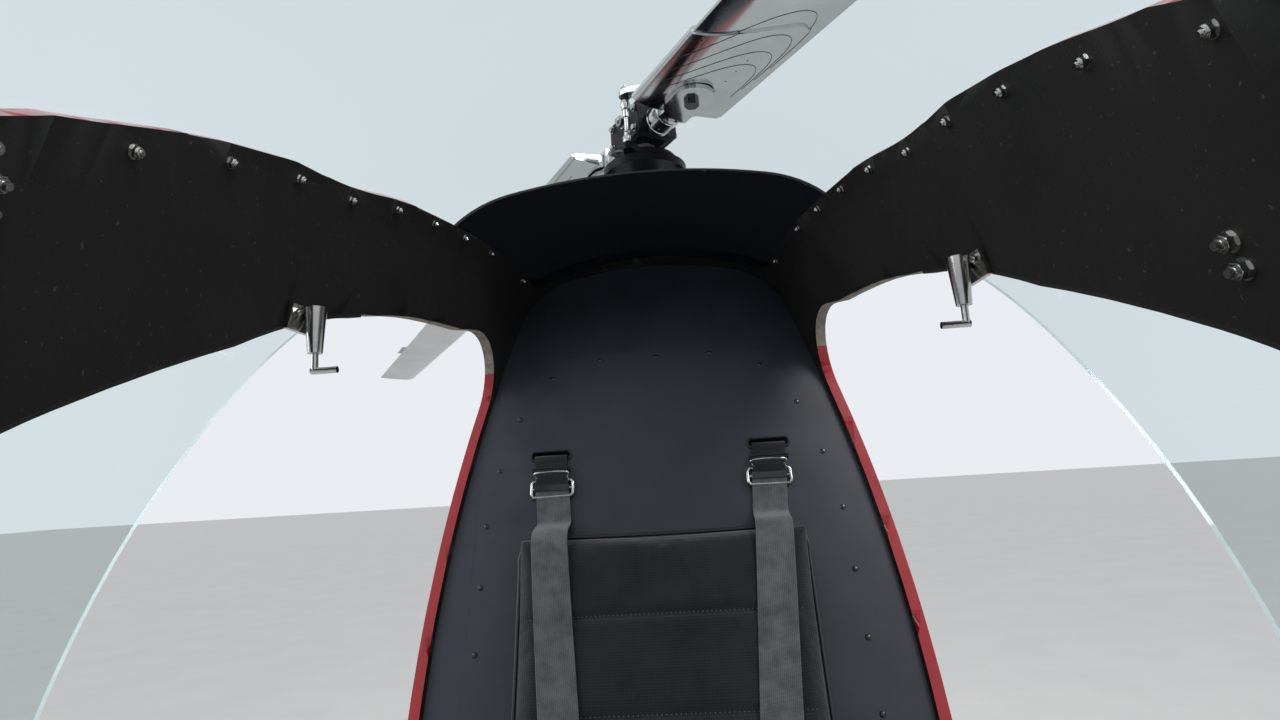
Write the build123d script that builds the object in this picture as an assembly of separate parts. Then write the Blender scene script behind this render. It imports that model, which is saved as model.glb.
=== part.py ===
from build123d import *
from math import sin, cos, radians, atan2, sqrt
import os

# Cabin pod of a single-seat light turbine helicopter, with its clear canopy, seat, harness,
# controls, rotor head and two-blade teetering main rotor. The doors are off.
# Millimetres. +Z is up, the nose points to -Y, +X is the port side, and the mast stands on X = Y = 0.
# Z = 0 is the underside of the keel beam, where the pod is held by four bolts around X = Y = 0.

# Pod shell
WALL = 14.0
FIT = 0.3
SHEET = 3.0
LAP = 24.0
# Columns: station y, half width, height of the widest line, top, bottom,
# crown radius, shoulder radius, side radius, bilge radius, belly radius
STATIONS = [
    (-1672, 55, 462, 515, 409, 58, 50, 58, 50, 58),
    (-1650, 112, 468, 588, 352, 122, 100, 130, 100, 125),
    (-1590, 178, 478, 692, 274, 200, 130, 300, 130, 210),
    (-1480, 246, 495, 825, 195, 300, 130, 700, 130, 320),
    (-1230, 330, 570, 1090, 90, 410, 145, 1050, 160, 450),
    (-900, 365, 680, 1300, 32, 460, 150, 1500, 180, 600),
    (-500, 352, 750, 1375, 14, 480, 150, 1600, 175, 640),
    (-100, 292, 750, 1345, 32, 460, 130, 1900, 130, 380),
    (350, 240, 720, 1120, 165, 330, 105, 1300, 100, 235),
    (800, 130, 740, 870, 610, 135, 125, 135, 125, 135),
]
STEPS = 2
NOSE_Y = STATIONS[0][0]
TAIL_Y = STATIONS[-1][0]
COWL_SPLIT_Y = 150.0
COWL_GAP = 0.5

# Canopy opening in plan, half of it: (x, y, corner radius), nose end first
CANOPY_OUTLINE = [(190, -1630, 175), (262, -1300, 450), (275, -900, 900), (263, -620, 700), (190, -78, 60)]
CANOPY_SILL = 600.0
ROOF_ARC_R = 510.0
ROOF_ARC_Y = -315.0

# Doorway in side view: (y, z, corner radius), rear top corner first, then forward along the top
DOORWAY = [
    (-131, 1195, 80),
    (-560, 1150, 900),
    (-930, 975, 600),
    (-1405, 525, 50),
    (-1310, 425, 70),
    (-421, 425, 200),
]
WINDOW_ARC_Y = -175.0
WINDOW_ARC_Z = 620.0
WINDOW_ARC_R = 650.0
WINDOW_LAP = 16.0
SEAL_T = 3.0
SEAL_FROM_Y = -985.0
SEAL_TO_Y = -530.0

# Bulkhead, a panel that leans aft
BULK_FOOT_Y = -460.0
BULK_FOOT_Z = 300.0
BULK_LEAN = 20.7
BULK_T = 10.0
COVER_T = 4.0
# Arch of the cover, half of it, in the panel's plane: (x, height along the panel, corner radius)
COVER_OUTLINE = [(262, 30, 20), (262, 700, 160), (185, 915, 110)]
SLOT_X = 160.0
SLOT_UP = 745.0
SLOT_W = 58.0
SLOT_H = 12.0

# Floor, engine deck and the heavy block behind the bulkhead
FLOOR_Z = 160.0
FLOOR_T = 8.0
DECK_Z = 500.0
DECK_T = 10.0
BLOCK_W = 300.0
BLOCK_FROM_Y = -90.0
BLOCK_TO_Y = 400.0
BLOCK_H = 300.0
GEARBOX_W = 170.0
GEARBOX_TOP = 1130.0

# Keel beam under the belly, and saddles for the cross tubes of the landing gear
KEEL_W = 150.0
KEEL_FROM_Y = -1075.0
KEEL_TO_Y = 130.0
KEEL_T = 10.0
KEEL_WEB = 8.0
KEEL_BOLT_X = 100.0
KEEL_BOLT_Y = 160.0
KEEL_BOLT_R = 5.2
SADDLE_Y = (-1010.0, -250.0)
SADDLE_W = 110.0
SADDLE_L = 84.0
SADDLE_BORE_R = 25.4
SADDLE_WALL = 10.0

# Flange that carries the tail boom
FLANGE_T = 12.0
FLANGE_IN_R = 96.0
FLANGE_PCD = 224.0
FLANGE_BOLTS = 8
FLANGE_HOLE_R = 3.3

# Mast and rotor head
MAST_R = 16.0
RUN_GAP = 0.05
HOUSING_R = 34.0
HOUSING_TOP = 1438.0
HOUSING_BEARING = 36.0
ROOF_HOLE_R = 42.0
ROOF_CUT_Z = 1150.0
BOOT_R = 26.0
BOOT_ROOT_R = 22.5
BOOT_WALL = 1.2
BOOT_FOLDS = 6
SWASH_Z = 1516.0
SWASH_T = 15.0
SWASH_R = 78.0
SWASH_BORE_R = 22.0
SWASH_GAP = 5.5
SPIDER_R = 60.0
SPIDER_T = 13.0
ROD_R = 4.5
ROD_GAP = 7.0
# Control rods: (x, y)
CONTROL_RODS = [(-66, 0), (66, 0), (0, 66)]
BLADE_HEADING = 32.0
TEETER_Z = 1622.0
BLADE_Z = 1600.0
TEETER_GAP = 6.0
PIN_R = 6.0
HEAD_W = 44.0
HEAD_H = 40.0
HEAD_TOP = 1640.0
YOKE_L = 112.0
YOKE_LOW = 1578.0
YOKE_H = 60.0
YOKE_END = 16.0
EAR_T = 12.0
BARREL_R = 27.5
BARREL_TO = 116.0
BASE_T = 10.0
TANG_T = 7.0
TANG_TO = 214.0
TANG_W = 74.0
ROOT_BOLT_AT = 172.0
BOLT_R = 7.0
# Pitch horn: eye centre (out along the blade, towards its leading edge)
HORN_TIP = (52.0, 62.0)
HORN_EYE_R = 11.0
HORN_Z = 1640.0
# Horn in plan: (out, lead), and from the side: (out, height over the fork)
HORN_PLAN = [(44, 54), (118, 18), (196, 18), (196, 40), (128, 44), (58, 71)]
HORN_SIDE = [(30, 18), (66, 18), (118, 0), (200, 0), (200, 8), (122, 10), (70, 28), (30, 28)]
LINK_R = 4.0
LINK_DROP = 8.0

# Blades
ROTOR_R = 2960.0
BLADE_FROM = 118.0
CHORD = 180.0
FEATHER = 0.45
THICKNESS = 21.0
TRAIL_T = 1.6
# Root doublers on both faces, longest first:
# (reach at the leading edge, reach at the rounded corner, that corner's place towards the trailing edge)
DOUBLERS = [(300, 404, 84), (257, 346, 76), (237, 304, 68), (215, 262, 60)]
DOUBLER_T = 0.9
DOUBLER_ROUND = 24.0

# Seat, harness and controls
SEAT_W = 410.0
SEAT_FRONT_Y = -935.0
SEAT_TOP_FRONT = 268.0
SEAT_SLOPE = 0.08
CUSHION_T = 62.0
BACK_W = 390.0
BACK_T = 58.0
BACK_FROM = 32.0
BACK_UP = 620.0
WEB_T = 2.5
WEB_W = 48.0
BELT_FOOT_X = 92.0
LAP_Y = -610.0
BUCKLE_R = 31.0
BUCKLE_T = 15.0
ADJUSTER_UP = 688.0
ADJUSTER_W = 64.0
ADJUSTER_H = 26.0
ADJUSTER_T = 5.0
STICK_R = 11.0
STICK_GRIP_R = 17.0
# Side views of the two levers' tubes: (y, z)
STICK_PATH = [(-1030, 0), (-1030, 170), (-985, 300), (-990, 420)]
LEVER_X = 218.0
LEVER_PATH = [(-560, 0), (-560, 60), (-700, 110), (-860, 190)]
TUBE_BEND_R = 45.0
PEDESTAL_W = 80.0
PEDESTAL_L = 70.0
CONSOLE_Y = -1285.0
CONSOLE_LOW = 520.0
CONSOLE_W = 250.0
CONSOLE_H = 170.0
CONSOLE_T = 80.0
PEDAL_X = 105.0
PEDAL_Y = -1225.0
PEDAL_W = 78.0
PEDAL_H = 96.0

# Latches at the top of the doorways
LATCH_Y = -628.0
LATCH_Z = 1104.0
LATCH_R = 9.5
LATCH_L = 42.0
LATCH_ROD_R = 3.0
LATCH_PLATE = 4.0

# Exhaust pipe out of the starboard side of the cowl
EXHAUST_R = 48.0
EXHAUST_WALL = 2.0
EXHAUST_L = 330.0
EXHAUST_Z = 660.0
EXHAUST_Y = 300.0
EXHAUST_HOLE_GAP = 8.0
EXHAUST_WAY = (-0.72, 0.66, 0.22)

os.makedirs("parts", exist_ok=True)


def save(name, shape):
    shape.label = name
    export_step(shape, f"parts/{name}.step")


def tangent_quarter(width, height, end_r, corner_r, side_r):
    """End and side arcs joined by a corner arc. Gives the corner's centre and its two tangent points,
    measured from the widest line's mid point."""
    end_c = Vector(0, height - end_r)
    side_c = Vector(width - side_r, 0)
    a = end_r - corner_r
    b = side_r - corner_r
    span = side_c - end_c
    d = span.length
    along = (a * a - b * b + d * d) / (2 * d)
    off = sqrt(max(a * a - along * along, 0))
    unit = span / d
    normal = Vector(-unit.Y, unit.X)
    centres = [end_c + unit * along + normal * off, end_c + unit * along - normal * off]
    corner = max(centres, key=lambda c: c.X + c.Y)
    on_end = end_c + (corner - end_c).normalized() * end_r
    on_side = side_c + (corner - side_c).normalized() * side_r
    return corner, on_end, on_side


def pod_section(row, inset):
    """One closed section of the pod, every wall moved inwards by inset."""
    y, width, mid, top, bottom, crown, shoulder, side, bilge, belly = row
    width = width - inset
    up = top - inset - mid
    down = mid - bottom - inset
    c_up, crown_t, side_up = tangent_quarter(width, up, crown - inset, shoulder - inset, side - inset)
    c_dn, belly_t, side_dn = tangent_quarter(width, down, belly - inset, bilge - inset, side - inset)

    def bend(centre, start, end, radius):
        half = ((start - centre).normalized() + (end - centre).normalized()).normalized()
        return centre + half * radius

    shoulder_m = bend(c_up, crown_t, side_up, shoulder - inset)
    bilge_m = bend(c_dn, belly_t, side_dn, bilge - inset)

    def at(p, sx, sz):
        return (sx * p.X, mid + sz * p.Y)

    arcs = [
        ThreePointArc(at(crown_t, -1, 1), (0, mid + up), at(crown_t, 1, 1)),
        ThreePointArc(at(crown_t, 1, 1), at(shoulder_m, 1, 1), at(side_up, 1, 1)),
        ThreePointArc(at(side_up, 1, 1), (width, mid), at(side_dn, 1, -1)),
        ThreePointArc(at(side_dn, 1, -1), at(bilge_m, 1, -1), at(belly_t, 1, -1)),
        ThreePointArc(at(belly_t, 1, -1), (0, mid - down), at(belly_t, -1, -1)),
        ThreePointArc(at(belly_t, -1, -1), at(bilge_m, -1, -1), at(side_dn, -1, -1)),
        ThreePointArc(at(side_dn, -1, -1), (-width, mid), at(side_up, -1, 1)),
        ThreePointArc(at(side_up, -1, 1), at(shoulder_m, -1, 1), at(crown_t, -1, 1)),
    ]
    plane = Plane(origin=(0, y, 0), x_dir=(1, 0, 0), z_dir=(0, -1, 0))
    return plane * make_face(Curve() + arcs)


def between(before, start, end, after, share):
    """A station between two table rows, on a smooth curve through the rows around them."""
    step = end[0] - start[0]
    weights = (
        2 * share**3 - 3 * share**2 + 1,
        share**3 - 2 * share**2 + share,
        3 * share**2 - 2 * share**3,
        share**3 - share**2,
    )
    row = []
    for a, b, c, d in zip(before, start, end, after):
        slope_in = (c - a) / (end[0] - before[0]) * step
        slope_out = (d - b) / (after[0] - start[0]) * step
        row.append(weights[0] * b + weights[1] * slope_in + weights[2] * c + weights[3] * slope_out)
    row[0] = start[0] + share * step
    return tuple(row)


def all_stations():
    rows = []
    last = len(STATIONS) - 1
    for i in range(last):
        around = [STATIONS[max(i - 1, 0)], STATIONS[i], STATIONS[i + 1], STATIONS[min(i + 2, last)]]
        rows += [between(*around, j / STEPS) for j in range(STEPS)]
    return rows + [STATIONS[-1]]


PODS = {}


def pod(inset):
    """The pod as one solid, its surface moved inwards by inset."""
    if inset not in PODS:
        sections = [pod_section(row, inset) for row in all_stations()]
        sections[0] = Pos(0, inset, 0) * sections[0]
        PODS[inset] = loft(sections, ruled=True)
    return PODS[inset]


def filleted(points):
    """Closed outline through (u, v, corner radius) points."""
    line = FilletPolyline(*[(u, v) for u, v, r in points], radius=[r for u, v, r in points], close=True)
    return make_face(line)


def mirrored_outline(points):
    return filleted(points + [(-u, v, r) for u, v, r in reversed(points)])


def seat_top(y):
    """Height of the seat pan's top, which rises towards the front."""
    return SEAT_TOP_FRONT - SEAT_SLOPE * (y - SEAT_FRONT_Y)


def box_between(low, high):
    size = [b - a for a, b in zip(low, high)]
    return Pos(*low) * Box(*size, align=(Align.MIN, Align.MIN, Align.MIN))


SIDE = Plane(origin=(0, 0, 0), x_dir=(0, 1, 0), z_dir=(1, 0, 0))
FAR = 3000.0
UP = (Align.CENTER, Align.CENTER, Align.MIN)

outer = pod(0)
cavity = pod(WALL + FIT)
over = pod(-FIT)
sheet_top = pod(-FIT - SHEET)

canopy_face = mirrored_outline(CANOPY_OUTLINE)
canopy_cut = Pos(0, 0, CANOPY_SILL) * extrude(canopy_face, FAR)
canopy_lap = Pos(0, 0, CANOPY_SILL - LAP) * extrude(offset(canopy_face, LAP), FAR)
door_face = filleted(DOORWAY)
door_cut = extrude(SIDE * door_face, 500, both=True)
door_lap = extrude(SIDE * offset(door_face, WINDOW_LAP), 500, both=True)
window_disc = SIDE * Pos(WINDOW_ARC_Y, WINDOW_ARC_Z) * Circle(WINDOW_ARC_R)
window_back = extrude(window_disc, 500, both=True)

# Shell, cowl and everything cut in them
roof_holes = Sketch() + [Circle(ROOF_HOLE_R)] + [Pos(x, y) * Circle(ROD_R + ROD_GAP) for x, y in CONTROL_RODS]
roof_cut = Pos(0, 0, ROOF_CUT_Z) * extrude(roof_holes, FAR)
shell = outer - pod(WALL)
shell -= roof_cut
shell -= canopy_cut
shell -= door_cut
ahead = box_between((-500, NOSE_Y - 50, -50), (500, COWL_SPLIT_Y, FAR))
behind = box_between((-500, COWL_SPLIT_Y + COWL_GAP, -50), (500, TAIL_Y + 50, FAR))
cabin_shell = shell & ahead
exhaust_axis = Plane(origin=(-BLOCK_W / 2 + 60, EXHAUST_Y, EXHAUST_Z), z_dir=EXHAUST_WAY)
exhaust_hole = extrude(exhaust_axis * Circle(EXHAUST_R + EXHAUST_HOLE_GAP), EXHAUST_L + 200)
aft_cowl = (shell & behind) - exhaust_hole
save("cabin_shell", cabin_shell)
save("aft_cowl", aft_cowl)

# Canopy in two sheets that meet along an arc over the seat
arc_y = ROOF_ARC_Y - ROOF_ARC_R
glazed = Pos(0, arc_y) * Cylinder(ROOF_ARC_R, 2 * FAR)
glazed += box_between((-500, NOSE_Y - 50, 0), (500, arc_y, FAR))
opaque_gap = Pos(0, arc_y) * Cylinder(ROOF_ARC_R + FIT, 2 * FAR)
opaque_gap += box_between((-500, NOSE_Y - 50, 0), (500, arc_y, FAR))
canopy_sheet = (sheet_top & canopy_lap) - over
save("canopy", canopy_sheet & glazed)
roof_panel = canopy_sheet - opaque_gap - roof_cut
save("roof_panel", roof_panel)

# Quarter windows and door seals
window_band = (sheet_top & (door_lap - window_back)) - over
seal_zone = box_between((-500, SEAL_FROM_Y, 900), (500, SEAL_TO_Y, 1250))
seal_inner = extrude(SIDE * offset(door_face, -SEAL_T), 500, both=True)
seal_band = (pod(1) & (door_cut - seal_inner) & seal_zone) - pod(WALL)
save("quarter_windows", window_band)
save("door_seals", seal_band)

# Bulkhead with its arched cover
lean = radians(BULK_LEAN)
bulk = Plane(origin=(0, BULK_FOOT_Y, BULK_FOOT_Z), x_dir=(1, 0, 0), z_dir=(0, -cos(lean), sin(lean)))
slots = Sketch() + [Pos(x, SLOT_UP) * SlotOverall(SLOT_W, SLOT_H) for x in (-SLOT_X, SLOT_X)]
slot_cut = extrude(bulk * slots, 40, both=True)
bulk_slab = extrude(bulk * Rectangle(FAR, 2 * FAR), -BULK_T)
above_floor = box_between((-500, -800, FLOOR_Z), (500, 200, FAR))
save("rear_bulkhead", (cavity & bulk_slab & above_floor) - slot_cut)
cover_face = make_face(
    FilletPolyline(
        *[(x, v) for x, v, r in COVER_OUTLINE],
        *[(-x, v) for x, v, r in reversed(COVER_OUTLINE)],
        radius=[r for x, v, r in COVER_OUTLINE] + [r for x, v, r in reversed(COVER_OUTLINE)],
        close=True,
    )
)
save("bulkhead_cover", extrude(bulk * cover_face, COVER_T) - slot_cut)


def bulk_point(x, up, off):
    return bulk.from_local_coords(Vector(x, up, off))


# Floor, engine deck, engine with its gearbox
floor_slab = box_between((-500, NOSE_Y, FLOOR_Z - FLOOR_T), (500, BULK_FOOT_Y + 120, FLOOR_Z))
save("floor_panel", cavity & floor_slab)
deck_front = bulk_point(0, (DECK_Z - BULK_FOOT_Z) / cos(lean), -BULK_T).Y + FIT
deck_slab = box_between((-500, deck_front, DECK_Z - DECK_T), (500, COWL_SPLIT_Y - 20, DECK_Z))
behind_bulk = extrude(bulk.offset(-BULK_T - FIT) * Rectangle(FAR, 2 * FAR), -1500)
save("engine_deck", cavity & deck_slab & behind_bulk)
block = box_between((-BLOCK_W / 2, BLOCK_FROM_Y, DECK_Z), (BLOCK_W / 2, BLOCK_TO_Y, DECK_Z + BLOCK_H))
block += box_between((-GEARBOX_W / 2, -70, DECK_Z + BLOCK_H - 1), (GEARBOX_W / 2, 100, GEARBOX_TOP))
save("engine_and_gearbox_block", block)

# Keel beam, gear saddles, boom flange
keel = box_between((-KEEL_W / 2, KEEL_FROM_Y, 0), (KEEL_W / 2, KEEL_TO_Y, 200))
half_in = KEEL_W / 2 - KEEL_WEB
keel -= box_between((-half_in, KEEL_FROM_Y - 1, KEEL_T), (half_in, KEEL_TO_Y + 1, 201))
keel -= pod(-FIT)
for spot in GridLocations(KEEL_BOLT_X, KEEL_BOLT_Y, 2, 2):
    keel -= spot * Cylinder(KEEL_BOLT_R, 200)
save("keel_beam", keel.solids().sort_by(Axis.Z)[0])
saddle_h = 2 * (SADDLE_BORE_R + SADDLE_WALL)
saddles = []
for y in SADDLE_Y:
    side_line = Rectangle(SADDLE_L, saddle_h) - Circle(SADDLE_BORE_R)
    saddle = extrude(SIDE * (Pos(y, -saddle_h / 2) * side_line), SADDLE_W / 2, both=True)
    saddles.append(fillet(saddle.edges().filter_by(Axis.X).group_by(Axis.Z)[0], 16))
save("gear_saddles", Compound(saddles))
boom_mid = STATIONS[-1][2]
rear_face = Plane(origin=(0, TAIL_Y, boom_mid), x_dir=(1, 0, 0), z_dir=(0, 1, 0))
ring = Circle(STATIONS[-1][1]) - Circle(FLANGE_IN_R)
ring -= PolarLocations(FLANGE_PCD / 2, FLANGE_BOLTS) * Circle(FLANGE_HOLE_R)
save("tail_boom_flange", extrude(rear_face * ring, FLANGE_T))


def ring_solid(inner, outer_r, z_low, z_high):
    return Pos(0, 0, z_low) * extrude(Circle(outer_r) - Circle(inner), z_high - z_low)


# Fixed mast housing with its boot
housing = ring_solid(MAST_R + 6, HOUSING_R, GEARBOX_TOP, HOUSING_TOP)
housing += ring_solid(MAST_R + RUN_GAP, HOUSING_R, HOUSING_TOP - HOUSING_BEARING, HOUSING_TOP)
housing += ring_solid(MAST_R + RUN_GAP, HOUSING_R + 22, GEARBOX_TOP, GEARBOX_TOP + 14)
save("mast_housing", housing)
boot_top = SWASH_Z
fold = (boot_top - HOUSING_TOP) / BOOT_FOLDS
outline = [(BOOT_ROOT_R, HOUSING_TOP)]
for i in range(BOOT_FOLDS):
    outline.append((BOOT_R, HOUSING_TOP + (i + 0.5) * fold))
    outline.append((BOOT_ROOT_R, HOUSING_TOP + (i + 1) * fold))
inner_line = [(r - BOOT_WALL, z) for r, z in reversed(outline)]
boot_face = make_face(Plane.XZ * Polyline(*outline, *inner_line, close=True))
save("mast_boot", revolve(boot_face, Axis.Z))

# Fixed swashplate on its three control rods
plate = ring_solid(SWASH_BORE_R, SWASH_R, SWASH_Z, SWASH_Z + SWASH_T)
save("swashplate_fixed", plate)
rods = []
for x, y in CONTROL_RODS:
    rods.append(Pos(x, y, GEARBOX_TOP) * Cylinder(ROD_R, SWASH_Z - GEARBOX_TOP, align=UP))
save("control_rods", Compound(rods))

# Directions of the rotor: out along the blade, and towards its leading edge
heading = radians(BLADE_HEADING)
OUT = Vector(sin(heading), -cos(heading), 0)
LEAD = Vector(-cos(heading), -sin(heading), 0)


def head_plane(z, turn):
    """Plane with its x axis along a blade and its y axis away from that blade's leading edge."""
    way = 1 if turn == 0 else -1
    return Plane(origin=(0, 0, z), x_dir=OUT * way, z_dir=(0, 0, 1))


# Turning mast, its head and the rotating swashplate
head_low = HEAD_TOP - HEAD_H
mast_low = GEARBOX_TOP + FIT
save("mast", Pos(0, 0, mast_low) * Cylinder(MAST_R, head_low - mast_low, align=UP))
pin_line = Plane(origin=(0, 0, TEETER_Z), x_dir=OUT, z_dir=LEAD)
head_block = head_plane(head_low, 0) * Box(HEAD_W, HEAD_W, HEAD_H, align=UP)
head_block -= extrude(pin_line * Circle(PIN_R + RUN_GAP), 100, both=True)
save("mast_head", head_block)
spider_z = SWASH_Z + SWASH_T + SWASH_GAP
spider = ring_solid(MAST_R + FIT, SPIDER_R, spider_z, spider_z + SPIDER_T)
links = []
link_low = spider_z + SPIDER_T
link_top = HORN_Z - LINK_DROP
for turn in (0, 1):
    tip = Pos(HORN_TIP[0], -HORN_TIP[1])
    arm = make_hull([*(Pos(0, 0) * Circle(SPIDER_R / 2)).edges(), *(tip * Circle(9)).edges()])
    spider += head_plane(spider_z, turn) * extrude(arm, SPIDER_T) - Cylinder(MAST_R + FIT, 2 * FAR)
    links.append(head_plane(link_low, turn) * tip * Cylinder(LINK_R, link_top - link_low, align=UP))
save("swashplate_rotating", spider)
save("pitch_links", Compound(links))

# Teetering yoke with its pin, the blade grips and the pitch horns
window = HEAD_W + 2 * TEETER_GAP
yoke_w = window + 2 * EAR_T
yoke = head_plane(YOKE_LOW, 0) * Box(YOKE_L, yoke_w, YOKE_H, align=UP)
yoke -= head_plane(YOKE_LOW - 1, 0) * Box(YOKE_L - 2 * YOKE_END, window, YOKE_H + 2, align=UP)
yoke -= extrude(pin_line * Circle(PIN_R), 100, both=True)
save("teeter_yoke", yoke)
save("teeter_pin", extrude(pin_line * Circle(PIN_R), yoke_w / 2 + 4, both=True))
barrels, forks, horns, bolts = [], [], [], []
half_gap = THICKNESS / 2 + len(DOUBLERS) * DOUBLER_T + 2 * FIT
tang_line = SlotCenterToCenter(TANG_TO - BARREL_TO - TANG_W, TANG_W)
tang_face = Pos((TANG_TO + BARREL_TO) / 2, 0) * tang_line
tang_face += Pos(BARREL_TO + TANG_W / 4, 0) * Rectangle(TANG_W / 2, 2 * BARREL_R)
for turn in (0, 1):
    grip = head_plane(BLADE_Z, turn)
    axis = Plane(origin=grip.origin, x_dir=(0, 0, 1), z_dir=grip.x_dir)
    barrels.append(extrude(axis.offset(YOKE_L / 2) * Circle(BARREL_R), BARREL_TO - YOKE_L / 2 - BASE_T))
    fork = grip * (Pos(BARREL_TO - BASE_T / 2, 0) * Box(BASE_T, 2 * BARREL_R, 2 * (half_gap + TANG_T)))
    fork += grip.offset(half_gap) * extrude(tang_face, TANG_T)
    fork += grip.offset(-half_gap - TANG_T) * extrude(tang_face, TANG_T)
    fork -= grip.offset(-100) * (Pos(ROOT_BOLT_AT, 0) * Cylinder(BOLT_R, 200, align=UP))
    forks.append(fork)
    bolt_half = half_gap + TANG_T
    bolt = grip.offset(-bolt_half - 8) * (Pos(ROOT_BOLT_AT, 0) * Cylinder(BOLT_R, 2 * bolt_half + 16, align=UP))
    for low in (-bolt_half - 9, bolt_half):
        head = RegularPolygon(BOLT_R * 1.8, 6)
        bolt += grip.offset(low) * (Pos(ROOT_BOLT_AT, 0) * extrude(head, 9))
    bolts.append(bolt)
    plan = make_face(Polyline(*[(u, -v) for u, v in HORN_PLAN], close=True))
    plan += Pos(HORN_TIP[0], -HORN_TIP[1]) * Circle(HORN_EYE_R)
    top = half_gap + TANG_T
    profile = [(u, top + up) for u, up in HORN_SIDE]
    side = Plane(origin=grip.origin, x_dir=grip.x_dir, z_dir=grip.x_dir.cross(Vector(0, 0, 1)))
    horn = grip * extrude(plan, 200) & extrude(side * make_face(Polyline(*profile, close=True)), 200, both=True)
    horns.append(horn)
save("grip_barrels", Compound(barrels))
save("blade_forks", Compound(forks))
save("root_bolts", Compound(bolts))
save("pitch_horns", Compound(horns))


def aerofoil():
    """Blade section of arcs: x runs from the leading to the trailing edge, y up, the origin on the feather line."""
    nose = -FEATHER * CHORD
    tail = nose + CHORD
    half = THICKNESS / 2
    nose_x = nose + 0.014 * CHORD
    nose_y = 0.32 * half
    deep_x = nose + 0.3 * CHORD
    edges = [ThreePointArc((nose_x, -nose_y), (nose, 0), (nose_x, nose_y))]
    for side in (1, -1):
        shoulder = (nose + 0.12 * CHORD, side * 0.83 * half)
        edges.append(ThreePointArc((nose_x, side * nose_y), shoulder, (deep_x, side * half)))
        back = (nose + 0.68 * CHORD, side * 0.66 * half)
        edges.append(ThreePointArc((deep_x, side * half), back, (tail, side * TRAIL_T / 2)))
    edges.append(Line((tail, TRAIL_T / 2), (tail, -TRAIL_T / 2)))
    return make_face(Curve() + edges)


section = aerofoil()
for turn, name in ((0, "a"), (1, "b")):
    grip = head_plane(BLADE_Z, turn)
    across = Plane(origin=grip.origin, x_dir=grip.y_dir, z_dir=grip.x_dir)
    blade = extrude(across.offset(BLADE_FROM) * section, ROTOR_R - BLADE_FROM)
    for i, (at_lead, at_corner, corner) in enumerate(DOUBLERS):
        lead = -FEATHER * CHORD - 10
        tongue = make_face(
            FilletPolyline(
                (BLADE_FROM, lead), (at_lead, lead), (at_corner, corner), (BLADE_FROM, corner + 6),
                radius=[0, 0, DOUBLER_ROUND, 0], close=True,
            )
        )
        thick = offset(section, (len(DOUBLERS) - i) * DOUBLER_T)
        layer = extrude(across.offset(BLADE_FROM) * thick, at_corner) & (grip.offset(-60) * extrude(tongue, 120))
        blade += layer
    blade -= grip.offset(-100) * (Pos(ROOT_BOLT_AT, 0) * Cylinder(BOLT_R, 200, align=UP))
    save(f"rotor_blade_{name}", blade)

# Seat, cushions and harness
in_front = extrude(bulk.offset(FIT) * Rectangle(FAR, 2 * FAR), FAR)
seat_side = [
    (SEAT_FRONT_Y, FLOOR_Z + FIT, 0), (SEAT_FRONT_Y - 12, SEAT_TOP_FRONT, 30),
    (-400, seat_top(-400), 0), (-400, FLOOR_Z + FIT, 0),
]
pan = extrude(SIDE * filleted(seat_side), SEAT_W / 2, both=True) & in_front
save("seat_pan", pan)
seat = Plane(origin=(0, BULK_FOOT_Y, seat_top(BULK_FOOT_Y) + FIT), x_dir=(1, 0, 0), z_dir=(0, SEAT_SLOPE, 1))
ahead_of_cover = extrude(bulk.offset(COVER_T + 2 * FIT) * Rectangle(FAR, 2 * FAR), FAR)
cushion_l = BULK_FOOT_Y - SEAT_FRONT_Y
cushion = seat * (Pos(0, -cushion_l / 2) * Box(SEAT_W - 20, cushion_l, CUSHION_T, align=UP))
save("seat_cushion", fillet(cushion.edges().group_by(Axis.Z)[-1], 18) & ahead_of_cover)
back = bulk.offset(COVER_T + FIT) * (Pos(0, (BACK_UP + BACK_FROM) / 2) * Box(BACK_W, BACK_UP - BACK_FROM, BACK_T, align=UP))
save("back_cushion", back)
face = COVER_T + FIT
front = face + BACK_T + FIT
BULK_SIDE = Plane(origin=bulk.origin, x_dir=bulk.y_dir, z_dir=(1, 0, 0))
lie = WEB_T / 2
belt_points = [
    (SLOT_UP, -BULK_T - 6), (SLOT_UP - 2, face + lie), (BACK_UP + 14, face + lie),
    (BACK_UP + 2, front + lie), (BACK_FROM + 40, front + lie),
]
belt_run = trace(Polyline(*belt_points), WEB_T)
straps = []
for side in (1, -1):
    strip = make_face(Polyline(
        (side * (SLOT_X - WEB_W / 2), SLOT_UP + 20), (side * (SLOT_X + WEB_W / 2), SLOT_UP + 20),
        (side * (BELT_FOOT_X + WEB_W / 2), BACK_FROM), (side * (BELT_FOOT_X - WEB_W / 2), BACK_FROM), close=True))
    ribbon = extrude(BULK_SIDE * belt_run, 400, both=True)
    straps += (ribbon & extrude(bulk * strip, 200, both=True)).solids()
save("shoulder_belts", Compound(straps))

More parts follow.
